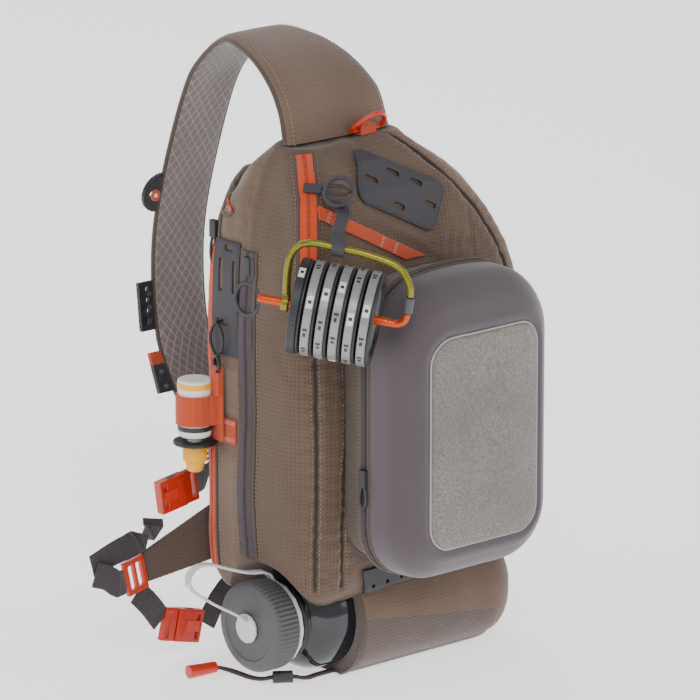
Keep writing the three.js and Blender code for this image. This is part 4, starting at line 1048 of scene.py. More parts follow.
    def clear_fittings(self, place: Vector) -> Vector:
        """Keeps a point of the cloth under the patches and webbing that lie on it."""
        search, gap, near, ease = 0.012, 0.1, 3, 0.35
        _, _, _, away = self.fittings.find_nearest(place, search)
        if away is None:
            return place
        spot, out, _, _ = self.solids.find_nearest(place)
        spare = (place - spot).dot(out) / MM - gap - max(0.0, away / MM - near) * ease
        return place - out * spare * MM if spare > 0 else place

    def clear_sleeve(self, place: Vector) -> Vector:
        """Lifts a point of the body's bottom clear of the bottle and its sleeve."""
        centre_y, centre_z, radius = -8.0, 47.3, 50.0
        away = Vector((place.y / MM - centre_y, place.z / MM - centre_z))
        if away.length < radius:
            away = away.normalized() * radius if away.length > 1 else Vector((0, radius))
            return Vector((place.x, (centre_y + away.x) * MM, (centre_z + abs(away.y)) * MM))
        return place

    def panels(self, shell: bpy.types.Object) -> None:
        """Gives the front compartment its dotted cloth, but for the plain band over its top."""
        edges = [self.edge(self.reach(z)[1]) for z in range(round(self.bottom + self.height) + 20)]
        side = self.split - 2
        spots = [face.center / MM for face in shell.data.polygons]
        sort_faces(shell.data, [spot.y < side and spot.x <= edges[round(spot.z)] for spot in spots])

    def on_shell(self, start: Vector, direction: Vector) -> tuple[Vector, Vector]:
        """Casts a line to the shell and gives the point and normal that it meets."""
        spot, normal, _, _ = self.tree.ray_cast(start, direction)
        if spot is None:
            spot, normal, _, _ = self.tree.find_nearest(start)
        return spot, normal

    def path(
        self, place: Callable[[float], Vector], low: float, high: float, inward: Vector, count: int = 90,
    ) -> tuple[list[Vector], list[Vector]]:
        """Lays a line of points on the shell.

        Args:
            place: gives a point outside the shell for a height in millimetres.
            low: first height.
            high: last height.
            inward: direction towards the shell.
            count: how many points.

        Returns:
            The points and the smoothed normals.
        """
        points, normals = [], []
        for i in range(count):
            spot, normal = self.on_shell(place(low + (high - low) * i / (count - 1)), inward)
            points.append(spot)
            normals.append(normal)
        for _ in range(3):
            inner = [(a + b * 2 + c) / 4 for a, b, c in zip(points, points[1:], points[2:])]
            points = [points[0], *inner, points[-1]]
        inner = [(a + b + c).normalized() for a, b, c in zip(normals, normals[1:], normals[2:])]
        return points, [inner[0], *inner, inner[-1]]

    def zippers(self) -> None:
        """Lays the three zippers of the body on the cloth."""
        slant = Vector((DIAGONAL, DIAGONAL, 0))
        lip, tooth, thickness = section(3.0, 1.9, 0.9, 3), (0.62, 1.9, 0.55), 1.4
        runs = (
            ("main", lambda z: mm(-160, 52, z), 82, 392, RIGHT, 14.0, ZIP_ORANGE, COIL_ORANGE),
            ("mid", lambda z: mm(-160, 7, z), 100, 346, RIGHT, 16.0, ZIP_MAUVE, COIL),
            ("top", lambda z: self.corner(z, 30), 275, 422, slant, 13.0, ZIP_ORANGE, COIL_ORANGE),
        )
        for name, place, low, high, inward, width, tape, teeth in runs:
            points, normals = self.path(place, low, high, inward)
            bm = swept(points, normals, section(width, thickness, 0.4))
            piece(bm, f"{name}_zipper_tape", [tape], nodes=(f"{name}_zipper",))
            count = round(run_length(points) / MM / TOOTH_PITCH)
            spots, outs = resample(points, count), resample(normals, count)
            beads(f"{name}_zipper_coil", spots, outs, teeth, tooth, 1.45)
            offset = width / 2 + 0.6
            for side, label in ((-1, "rear"), (1, "fore")):
                shifted, outs = self.beside(points, normals, side * offset)
                piece(swept(shifted, outs, lip), f"{name}_zipper_lip_{label}", [SEAM])
                sewn, outs = self.beside(points, normals, side * (offset + 2.6), 0.35)
                stitched(f"{name}_zipper_stitches_{label}", sewn, outs, THREAD)

    def corner(self, z: float, out: float) -> Vector:
        """Gives a point outside the front left corner at a height."""
        left, _, front, back = self.reach(z)
        room = min(self.front_corner, (back - front) / 2) * (1 - math.sqrt(0.5))
        return mm(left + room - out * DIAGONAL, front + room - out * DIAGONAL, z)

    def beside(
        self, points: list[Vector], normals: list[Vector], shift: float, lift: float = 0.0,
    ) -> tuple[list[Vector], list[Vector]]:
        """Moves a line sideways over the cloth and sets it back on the shell.

        Args:
            points: the line.
            normals: outward directions along it.
            shift: how far it moves sideways, in millimetres.
            lift: how far it then stands off the cloth, in millimetres.

        Returns:
            The new points and their outward directions.
        """
        cast = 0.012
        moved, outs = [], []
        for i, (point, normal) in enumerate(zip(points, normals)):
            ahead = points[min(i + 1, len(points) - 1)] - points[max(i - 1, 0)]
            side = normal.cross(ahead.normalized()).normalized()
            spot, out = self.on_shell(point + side * shift * MM + normal * cast, -normal)
            moved.append(spot + out * lift * MM)
            outs.append((normal * 2 + out).normalized())
        return moved, outs

    def stitching(self) -> None:
        """Sews the rows beside the long seams."""
        lines = self.seam_lines()
        for number in (0, 2, 3):
            line = lines[number][0]
            normals = [self.on_shell(point + FRONT * 0.03, -FRONT)[1] for point in line]
            groove, outs = self.beside(line, normals, 0.0, 0.05)
            piece(swept(groove, outs, section(2.6, 0.7, 0.2)), f"body_seam_{number}_groove", [SEAM_DARK])
            for side, label in ((-1, "a"), (1, "b")):
                sewn, outs = self.beside(line, normals, side * 3.4, 0.3)
                stitched(f"body_seam_{number}_{label}", sewn, outs, THREAD, 3.4, 2.2, 0.55)


# The padded back and the strap

@dataclass
class BackPanel:
    """The padded mesh panel on the wearer's side."""

    def build(self) -> None:
        """Builds the pad from the room of its solid, swollen and quilted."""
        middle, deepest = 9, 3.2
        pad = moulded("back_panel", PAD, 3.2, 6, "back_pad")
        puffed(pad, 3.0, 4.0)
        finer(pad)
        for vert in pad.data.vertices:
            x, z = vert.co.x / MM, vert.co.z / MM
            if vert.normal.y > 0.5:
                depth = 2.4 * math.exp(-((x - middle) / 5) ** 2)
                for row in (165, 250, 330):
                    depth += 2.0 * math.exp(-((z - row + abs(x - middle) * 0.18) / 4.5) ** 2)
                vert.co.y -= min(deepest, depth) * MM


@dataclass
class ShoulderStrap:
    """The wide padded strap, with mesh inside and cloth outside. Sizes are in millimetres."""

    centre: float = -27.5
    reach: float = 192
    crest: float = 495
    width: float = 54
    root_width: float = 108
    end_width: float = 30
    thickness: float = 9
    root_thickness: float = 13
    around: int = 44
    rim: float = 1.2
    binding_inset: float = 1.6
    stitch_inset: float = 6
    side_curve: float = 0.42
    crown_curve: float = 0.75
    run: tuple = (
        (0.000, 0.8632, 1.00), (0.055, 0.921, 0.93), (0.190, 0.966, 0.70), (0.360, 0.990, 0.42),
        (0.520, 0.991, 0.18), (0.690, 0.945, 0.05), (0.790, 0.889, 0.00), (0.906, 0.770, 0.00),
        (0.984, 0.657, 0.00), (1.000, 0.560, 0.00), (0.970, 0.465, 0.00), (0.905, 0.390, -0.35),
        (0.810, 0.315, -1.00),
    )

    def centreline(self) -> tuple[list[Vector], list[float]]:
        """Gives the strap's middle line and its flare along it."""
        spots = [Vector((flare, back * self.reach, height * self.crest)) for back, height, flare in self.run]
        steps, line = 10, []
        for a, b, c, d in fours(spots):
            for i in range(steps):
                t = i / steps
                mixed = spline(a, b, c, d, t)
                mixed.x = b.x + (c.x - b.x) * t
                line.append(mixed)
        line.append(spots[-1])
        return [Vector((self.centre, p.y, p.z)) * MM for p in line], [p.x for p in line]

    def build(self) -> None:
        """Builds the strap, its edge bindings and its stitches."""
        line, flares = self.centreline()
        rings, outs = [], []
        edges, sewn = {-1: [], 1: []}, {-1: [], 1: []}
        for i, (point, flare) in enumerate(zip(line, flares)):
            tangent = UP if i == 0 else (line[min(i + 1, len(line) - 1)] - line[i - 1]).normalized()
            out = Vector((0, -tangent.z, tangent.y))
            other = self.root_width if flare >= 0 else self.end_width
            wide = self.width + abs(flare) * (other - self.width)
            thick = self.thickness + max(0.0, flare) * (self.root_thickness - self.thickness)
            ring = []
            for j in range(self.around):
                a = TURN * j / self.around
                side = math.copysign(abs(math.cos(a)) ** self.side_curve, math.cos(a))
                crown = math.copysign(abs(math.sin(a)) ** self.crown_curve, math.sin(a))
                x = side * (wide / 2 - self.rim)
                soft = 0.35 * noise.noise(Vector((x * 0.05, point.y * 30, point.z * 30)))
                ring.append(point + Vector((x * MM, 0, 0)) + out * (crown * thick / 2 + soft) * MM)
            rings.append(ring)
            outs.append(out)
            for side in (-1, 1):
                edges[side].append(point + mm(side * (wide / 2 - self.binding_inset), 0, 0))
                lifted = out * (thick * 0.44 + 0.2) * MM
                sewn[side].append(point + mm(side * (wide / 2 - self.stitch_inset), 0, 0) + lifted)
        strap = piece(lofted(rings), "strap_pad", [MESH, RIPSTOP], nodes=("shoulder_strap",), angle=70)
        chosen = []
        for face in strap.data.polygons:
            nearest = min(range(len(line)), key=lambda k: (line[k] - face.center).length_squared)
            chosen.append((face.center - line[nearest]).dot(outs[nearest]) > 0)
        sort_faces(strap.data, chosen)
        for side, label in ((-1, "left"), (1, "right")):
            bm = swept(edges[side], [RIGHT * side] * len(line), round_section(2.0, 10, 0.2))
            piece(bm, f"strap_binding_{label}", [SEAM])
            stitched(f"strap_stitches_{label}", sewn[side], outs, THREAD, 3.6, 2.2, 0.6)
        moulded("strap_round_tab", BLACK, 0.5, 4, keep=0.5)
        moulded("strap_plate_tab", BLACK, 0.5, 4, keep=0.5)
        self.end_tab()
        self.rivets()

    def end_tab(self) -> None:
        """Builds the plate near the strap's end, with its webbing loop and its two rivets."""
        tab = moulded("strap_end_tab", PULL, 0.5, 3, keep=0.5)
        tab.data.materials.append(WEB_ORANGE.make())
        low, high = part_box("strap_end_tab")
        size = high - low
        cut = low.z + size.z * 0.7
        sort_faces(tab.data, [face.center.z > cut for face in tab.data.polygons])
        for number, (across, up) in enumerate(((0.5, 0.18), (0.42, 0.52)), 1):
            spot = Vector((low.x + size.x * across, 0, low.z + size.z * up))

            def distance(co: Vector) -> float:
                """Gives how far a point is from the rivet, seen from the front."""
                return (co.x - spot.x) ** 2 + (co.z - spot.z) ** 2 + 0.2 * max(0.0, co.y - low.y) ** 2

            spot.y = min((v.co for v in tab.data.vertices), key=distance).y + 0.0001
            stud(f"end_tab_stud_{number}", spot, [(0, 0), (2.3, 0), (2.3, 0.6), (1.5, 1.2), (0, 1.4)], GREY)

    def rivets(self) -> None:
        """Adds the eyelet of the round tab and the rivets of the plates."""
        low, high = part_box("strap_round_tab")
        spot = Vector((low.x + (high.x - low.x) * 0.42, low.y - 0.0004, (low.z + high.z) / 2))
        eyelet = [(4.6, 0), (4.6, 0.9), (3.9, 1.5), (2.7, 1.5), (2.2, 0.6), (2.2, 0)]
        stud("round_tab_eyelet", spot, eyelet, WEB_ORANGE, 28)
        stud("round_tab_pin", spot, [(0, 0), (2.1, 0), (2.1, 1.2), (1.4, 1.8), (0, 2)], LABEL, 28)
        low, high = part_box("strap_plate_tab")
        for k in range(3):
            spot = Vector((low.x + 0.007, low.y - 0.0003, low.z + (high.z - low.z) * (0.22 + 0.28 * k)))
            stud(f"plate_stud_{k + 1}", spot, [(0, 0), (2.2, 0), (2.2, 0.5), (1.5, 1.1), (0, 1.3)], PULL)


# The tackle case

def box_distance(x: float, z: float, low: Pair, high: Pair, radius: float) -> float:
    """Gives how far a point is outside a rounded rectangle, or below zero inside it.

    Args:
        x: place across.
        z: place up.
        low: low left corner of the rectangle.
        high: its high right corner.
        radius: radius of its corners.

    Returns:
        The distance, in the same measure.
    """
    cx, cz = (low[0] + high[0]) / 2, (low[1] + high[1]) / 2
    qx = abs(x - cx) - (high[0] - low[0]) / 2 + radius
    qz = abs(z - cz) - (high[1] - low[1]) / 2 + radius
    return math.hypot(max(qx, 0), max(qz, 0)) + min(max(qx, qz), 0) - radius


@dataclass
class TackleCase:
    """The padded case on the front: cloth base, zipper and domed lid. Sizes are in millimetres."""

    left: float = 81
    right: float = 85
    bottom: float = 94
    top: float = 322
    crown: float = 13
    corner: float = 46
    draft: float = 7
    face: float = -60.3
    rim: float = -90.3
    lid_rim: float = -97.3
    lid_depth: float = 42
    lid_edge: float = 22
    count: int = 200
    lid: tuple = ((0.0, 0.0), (0.42, 0.03), (0.62, 0.20), (0.79, 0.55), (0.90, 1.0), (0.97, 1.8), (1.0, 3.2))
    patch_low: tuple = (-51, 122)
    patch_high: tuple = (61, 290)
    patch_corner: float = 20

    def ring(self, inset: float, y: float) -> list[Vector]:
        """Gives the case's outline at an inset and a depth."""
        middle, half = (self.right - self.left) / 2, (self.right + self.left) / 2
        radius = max(4.0, self.corner - inset)
        low = (inset - self.left, self.bottom + inset)
        high = (self.right - inset, self.top - inset)
        plain = rounded_ring(low, high, (radius, radius), 12)
        dense = resample([Vector((x, 0, z)) for x, z in plain], self.count, closed=True)
        made = []
        for p in dense:
            upper = max(0.0, min(1.0, (p.z - (self.top + self.bottom) / 2) / 40))
            made.append(mm(p.x, y, p.z + upper * self.crown * max(0.0, 1 - ((p.x - middle) / half) ** 2)))
        return made

    def normals(self, ring: list[Vector]) -> list[Vector]:
        """Gives the outward directions round a level ring."""
        count = len(ring)
        made = []
        for i in range(count):
            tangent = ring[(i + 1) % count] - ring[i - 1]
            made.append(Vector((tangent.z, 0, -tangent.x)).normalized())
        return made

    def build(self) -> None:
        """Builds the base, zipper, lid and patch."""
        self.base()
        self.zipper()
        self.dome()
        self.patch()
        moulded("case_zip_pull", PULL, 0.4, 3, keep=0.6)

    def base(self) -> None:
        """Builds the cloth base that is sewn to the bag, with its pleats."""
        rings, steps, sunk = [], 12, 3.5
        for i in range(steps + 1):
            t = i / steps
            y = self.face + sunk + (self.rim - self.face - sunk) * t
            belly = math.sin(math.pi * t)
            ring = self.ring(self.draft * (1 - t) + 1.2 * belly, y)
            rings.append([p + out * (0.5 * noise.noise(p * 60) * belly) * MM
                          for p, out in zip(ring, self.normals(ring))])
        rings.append(self.ring(6, self.rim - 0.4))
        # The base cloth takes the darker ripstop copy, which paints the shade on it.
        piece(lofted(rings), "case_base_cloth", [SHADED_RIPSTOP], nodes=("case_base",), angle=60)
        self.piping("case_piping_root", self.ring(self.draft - 0.8, self.face - 0.4), 1.7, 0.2)
        self.piping("case_piping_rim", self.ring(0.2, self.rim + 1.6), 1.7, 0.2)
        sewn = self.ring(0.6, self.rim + 6)
        outs = self.normals(sewn)
        stitched("case_base_stitches", [*sewn, sewn[0]], [*outs, outs[0]], THREAD, 3.4, 2.2, 0.6)

    def piping(self, name: str, ring: list[Vector], radius: float, lift: float) -> None:
        """Lays a round piping on a level ring."""
        piece(swept(ring, self.normals(ring), round_section(radius, 10, lift), closed=True), name, [SEAM])

    def zipper(self) -> None:
        """Builds the tape all round, with its row of teeth and the lid's piping."""
        middle = (self.rim + self.lid_rim) / 2
        ring = self.ring(1.0, middle)
        bm = swept(ring, self.normals(ring), section(7.0, 1.4, 0.4), closed=True)
        piece(bm, "case_zipper_tape", [ZIP_MAUVE], nodes=("case_zipper",))
        core = self.ring(2.0, middle)
        bm = lofted([[p + FRONT * k * MM for p in core] for k in (-3.4, 3.4)])
        piece(bm, "case_zipper_core", [ZIP_MAUVE])
        spots = resample(ring, round(run_length(ring) / MM / TOOTH_PITCH), closed=True)
        beads("case_zipper_coil", spots, self.normals(spots), COIL, (0.62, 1.7, 0.5), 1.5, closed=True)
        self.piping("lid_piping", self.ring(0.3, self.lid_rim + 0.2), 1.5, 0.0)

    def dome(self) -> None:
        """Builds the foam lid, with the soft ridge round its patch."""
        under = self.lid_rim - 0.3
        rings = [self.ring(5.0, under)]
        steps, last = 44, len(self.lid) - 1
        for i in range(steps + 1):
            place = i / steps * last
            low = min(int(place), last - 1)
            spots = [self.lid[max(0, min(last, low + k))] for k in (-1, 0, 1, 2)]
            depth, inset = (spline(*four, place - low) for four in zip(*spots))
            depth = min(1.0, max(0.0, depth))
            rings.append(self.ring(max(0.0, inset) * self.lid_edge, under - depth * self.lid_depth))
        bm = lofted([*rings, *drawn_in(rings[-1], (0.7, 0.4, 0.12))])
        split_long(bm, 0.004, 1)
        for vert in bm.verts:
            if vert.co.y < (self.lid_rim - self.lid_depth * 0.6) * MM:
                x, z = vert.co.x / MM, vert.co.z / MM
                d = box_distance(x, z, self.patch_low, self.patch_high, self.patch_corner)
                sunk = 1.5 * math.exp(-((d - 1.5) / 2.2) ** 2)
                raised = 1.0 * math.exp(-((d - 8.5) / 4.0) ** 2)
                vert.co.y += (sunk - raised) * MM
        bmesh.ops.recalc_face_normals(bm, faces=bm.faces)
        lid = piece(bm, "lid_shell", [SHELL], nodes=("case_lid",), angle=60)
        self.tree = BVHTree.FromObject(lid, bpy.context.evaluated_depsgraph_get())

    def on_lid(self, grow: float, lift: float) -> list[Vector]:
        """Gives the patch's outline on the lid, grown by a margin and lifted, in millimetres."""
        corner = self.patch_corner + grow
        low, high = [v - grow for v in self.patch_low], [v + grow for v in self.patch_high]
        plain = rounded_ring(low, high, (corner, corner), 10)
        made = []
        for p in resample([Vector((x, 0, z)) for x, z in plain], 180, closed=True):
            spot, _, _, _ = self.tree.ray_cast(mm(p.x, -190, p.z), -FRONT)
            y = spot.y if spot else (self.lid_rim - self.lid_depth) * MM
            made.append(Vector((p.x * MM, y - lift * MM, p.z * MM)))
        return made

    def patch(self) -> None:
        """Builds the bare felt patch and its pressed edge."""
        profile = [(0, -0.8), (0, 0.6), (-0.7, 1.3), (-2.2, 1.5), (-3.0, 1.2), (-4.2, 1.5)]
        profile += [(-4.2 - 12 * k, 1.5 - 0.02 * k) for k in range(1, 4)]
        rings = [self.on_lid(grow, lift) for grow, lift in profile]
        bm = lofted([*rings, *drawn_in(rings[-1], (0.5,))])
        split_long(bm, 0.005, 2)
        piece(bm, "felt_patch_pad", [FELT], nodes=("felt_patch",), angle=50)
        ring = self.on_lid(0.9, 0.35)
        bm = swept(ring, [FRONT] * len(ring), round_section(0.8, 8), closed=True)
        piece(bm, "felt_patch_edge", [PATCH_EDGE])


# The spool holder

@dataclass
class SpoolHolder:
    """The holder with its bar and the line spools. Sizes are in millimetres."""

    centre: tuple = (-125, -106, 322)
    turn: float = -50
    tip: float = 9
    radius: float = 37
    pitch: float = 10.9
    first: float = -25.5
    count: int = 6
    bore: float = 4.2
    marks: tuple = (
        (0, 15, -3.7, 1.2, 0.12), (5, 4, -2.6, 0.2, 0.22), (40, 3, -3.2, 0.4, 0.22),
        (46, 5, -2.6, -0.4, 0.22), (70, 3, -3.2, 0.4, 0.22), (76, 3, -2.6, 0.0, 0.22),
    )

    def axes(self) -> tuple[Vector, Vector]:
        """Gives the direction along the bar and up the frame."""
        turn, tip = math.radians(self.turn), math.radians(self.tip)
        along = Vector((math.cos(turn) * math.cos(tip), math.sin(turn) * math.cos(tip), -math.sin(tip)))
        up = Vector((math.cos(turn) * math.sin(tip), math.sin(turn) * math.sin(tip), math.cos(tip)))
        return along, up

    def build(self) -> None:
        """Builds the metalwork and the spools."""
        moulded("holder_frame", OLIVE, 0.55, 14, keep=0.6)
        moulded("holder_collar", GREY, 0.5, 4, keep=0.5)
        moulded("holder_bar", ORANGE_METAL, 0.55, 10, keep=0.6)
        moulded("holder_tab", RUBBER, 0.5, 4, keep=0.6)
        for number in range(self.count):
            self.spool(number)

    def spool(self, number: int) -> None:
        """Builds one spool: silver rim, black on the first spool, dark keeper band, labels and plain marks.
        """
        along, up = self.axes()
        origin = mm(*self.centre) + along * (self.first + number * self.pitch) * MM
        body = f"spool_{number + 1}"
        r, b = self.radius, self.bore
        profile = [
            (b, -2.5), (b + 3, -2.5), (b + 4, -2.0), (r - 9, -2.0), (r - 8, -4.4), (r - 7.5, -4.7),
            (r - 0.8, -4.7), (r, -4.2), (r, 1.6), (r - 0.9, 2.2), (r - 8, 2.2), (r - 9, 2.0),
            (b + 4, 2.0), (b + 3, 2.5), (b, 2.5), (b, -2.5),
        ]
        finish = BLACK if number == 0 else SPOOL
        piece(spun(origin, along, profile, 72), f"{body}_rim", [finish], body, 30, (body,))
        band = [(r - 8.0, 2.2), (r - 1.6, 2.2), (r - 0.9, 2.9), (r - 0.9, 4.2), (r - 1.6, 4.7),
                (r - 8.0, 4.7), (r - 8.0, 2.2)]
        piece(spun(origin, along, band, 60), f"{body}_band", [BLACK], body, 30)
        self.labels(number, origin, along, up, body)

    def labels(self, number: int, origin: Vector, along: Vector, up: Vector, body: str) -> None:
        """Adds the white label segments with plain dark marks on the rim of one spool.

        Args:
            number: which spool, from 0.
            origin: its middle.
            along: direction of the bar.
            up: direction of the angle zero.
            body: the body that it rides on.
        """
        side = along.cross(up)
        white, dark = bmesh.new(), bmesh.new()
        first = 24 + (number * 37) % 50
        starts = (first, first + 118, first + 240) if number else (first,)
        for start in starts:
            for kind, (begin, sweep, low, high, lift) in enumerate(self.marks):
                steps = max(2, round(sweep / 4))
                rows = []
                for i in range(steps + 1):
                    a = math.radians(start + begin + sweep * i / steps)
                    out = up * math.cos(a) + side * math.sin(a)
                    rows.append([origin + out * (self.radius + level) * MM + along * u * MM
                                 for u, level in ((low, -0.3), (high, -0.3), (high, lift), (low, lift))])
                part = mesh_of(lofted(rows), "part")
                (dark if kind else white).from_mesh(part)
                bpy.data.meshes.remove(part)
        piece(white, f"{body}_label", [LABEL], body, 30)
        piece(dark, f"{body}_marks", [BLACK], body, 30)


# The bottle, its sleeve and the drawcord

@dataclass
class BottleSleeve:
    """The lying water bottle and the stretch sleeve that holds it. Sizes are in millimetres."""

    y: float = -8
    z: float = 47.3
    radius: float = 44.5
    hem: float = -55
    end: float = 125
    end_length: float = 42
    wall: float = 2.4
    around: int = 96
    widening: float = 3.5
    squareness: float = 0.6
    flat_from: float = 0.93
    fold_from: float = -0.35

    def ring(self, x: float, scale: float, grow: float) -> list[Vector]:
        """Gives one section of the sleeve: round above, squarer below with a flat foot.

        Args:
            x: its place along the bottle, in millimetres.
            scale: its share of the full size.
            grow: how far it then stands out, in millimetres.

        Returns:
            Its points.
        """
        made = []
        for i in range(self.around):
            a = TURN * (i + 0.5) / self.around
            across, up = math.cos(a), math.sin(a)
            soft = self.squareness if up < 0 else 1.0
            y = math.copysign(abs(across) ** soft, across) * (self.z + self.widening * (1 - abs(up)))
            drop = abs(up) ** soft
            z = math.copysign(1.0 if up < 0 and drop > self.flat_from else drop, up) * self.z
            size = math.hypot(y, z)
            reach = (size * scale + grow) / size
            if up > self.fold_from:
                fold = 0.9 * noise.noise(Vector((x * 0.045, y * 0.03, z * 0.03)))
                fold += 0.5 * math.sin(x * 0.12 + y * 0.08)
                reach += fold * 0.6 / size
            made.append(mm(x, self.y + y * reach, max(0.0, self.z + z * reach)))
        return made

    def build(self) -> None:
        """Builds the bottle, cap, loop, sleeve, strips and drawcord."""
        self.bottle()
        self.sleeve()
        self.cord()

    def bottle(self) -> None:
        """Builds the smoky bottle with its ribbed cap and loop."""
        origin = mm(0, self.y, self.z)
        body = [
            (0, 88.4), (30, 88.4), (38, 86), (43, 80), (44.3, 72), (44.3, -66), (43.4, -74), (40, -81),
            (34.5, -86.5), (30, -88.5), (28.8, -90), (28.8, -103.5), (26.4, -103.5), (26.4, -89),
            (33, -84), (41, -72), (42, -66), (42, 70), (38, 82), (0, 86),
        ]
        piece(spun(origin, RIGHT, body, 80), "bottle_shell", [SMOKE], nodes=("bottle_body",), angle=40)
        cap = (
            (31.5, -104.2, 0), (34.8, -104.2, 0), (35.6, -105.2, 1), (36.2, -107, 1), (36.2, -122, 1),
            (35.6, -124.4, 1), (34.2, -126.4, 0), (31.5, -127.6, 0), (27, -128, 0), (26.2, -127.2, 0),
            (14, -127.2, 0), (13.2, -127.8, 0), (3, -127.8, 0),
        )
        bm = ribbed(cap, 60, 0.4, lambda x, u, v: mm(x, self.y + u, self.z + v))
        piece(bm, "cap_shell", [GREY], nodes=("bottle_cap",), angle=26)
        moulded("bottle_loop", CLEAR, 0.6, 8, keep=0.6)
        ring = [(30.2, -92.6), (32.4, -92.6), (32.9, -93.4), (32.9, -96.2), (32.4, -97), (30.2, -97),
                (30.2, -92.6)]
        piece(spun(origin, RIGHT, ring, 64), "bottle_neck_band", [BLACK])

    def sleeve(self) -> None:
        """Builds the sleeve with its hem, panel seam and rubber strips."""
        start = self.end - self.end_length
        rolled = ((1.5, -self.wall), (0.4, -1.4), (0.0, -0.3))
        rings = [self.ring(self.hem + x, 1.0, grow) for x, grow in rolled]
        for i in range(1, 36):
            rings.append(self.ring(self.hem + (start - self.hem) * i / 36, 1.0, 0.0))
        for i in range(15):
            t = i / 14
            scale = (1 - (t * 0.93) ** 3.2) ** 0.55 if t < 1 else 0.45
            rings.append(self.ring(start + self.end_length * t, scale, 0.0))
        rings.append(self.ring(self.end - 0.4, 0.2, 0.0))
        bm = lofted(rings)
        border, slope, far = mm(self.hem, 0, 50), 0.14, 96 * MM
        for spot, normal in ((border, (slope, 0, 1)), (Vector((far, 0, 0)), RIGHT)):
            geometry = [*bm.verts, *bm.edges, *bm.faces]
            bmesh.ops.bisect_plane(bm, geom=geometry, dist=FINE_MERGE, plane_co=spot, plane_no=normal)
        sleeve = piece(bm, "sleeve_cloth", [RIPSTOP, PAD], nodes=("bottle_sleeve",), angle=70)
        spots = [face.center for face in sleeve.data.polygons]
        sort_faces(sleeve.data, [p.z < border.z - (p.x - border.x) * slope and p.x < far for p in spots])
        hem = self.ring(self.hem + 2.0, 1.0, 0.2)
        outs = [Vector((0, p.y - self.y * MM, p.z - self.z * MM)).normalized() for p in hem]
        bm = swept(hem, outs, section(8.0, 1.2, 0.5, 3), closed=True)
        for vert in bm.verts:
            vert.co.z = max(0.0, vert.co.z)
        piece(bm, "sleeve_hem", [SEAM])
        for label in ("left", "right"):
            moulded(f"lower_strip_{label}", RUBBER, 0.6, 3, keep=0.6)

    def cord(self) -> None:
        """Builds the two strands of the drawcord with their lock and toggle."""
        lock = moulded("cord_lock", PULL, 0.45, 4, keep=0.6)
        toggle = moulded("cord_toggle", RED, 0.45, 4, keep=0.6)
        route = ((-55.4, -27, 1.7), (-72, -27, 1.7), (-86, -29, 2.4), (-97, -26, 5.2), (-103.5, -21.5, 5.2),
                 (-110, -17, 5.2), (-114.6, -9, 2.8), (-116, 3, 1.6), (-116, 14, 1.6), (-118.5, 25, 2.8),
                 (-126.2, 31.9, 5.4))
        sides = ((0, 1), (0, 1), (0.1, 1), (0.57, 0.82), (0.57, 0.82), (0.57, 0.82), (0.9, 0.4),
                 (1, 0), (1, 0.1), (0.85, 0.53), (0.16, 0.98))
        apart, radius = 3.2, 1.3
        for number, side in ((1, 0.5), (2, -0.5)):
            spots = [mm(x + side * apart * a, y + side * apart * b, z)
                     for (x, y, z), (a, b) in zip(route, sides)]
            line = eased(spots, 36)
            for point in line:
                point.z = max(point.z, radius * MM)
            bm = swept(line, [UP] * len(line), round_section(radius, 12))
            made = piece(bm, f"drawcord_strand_{number}", [CORD], nodes=(f"drawcord_{number}",), angle=180)


# Small hardware

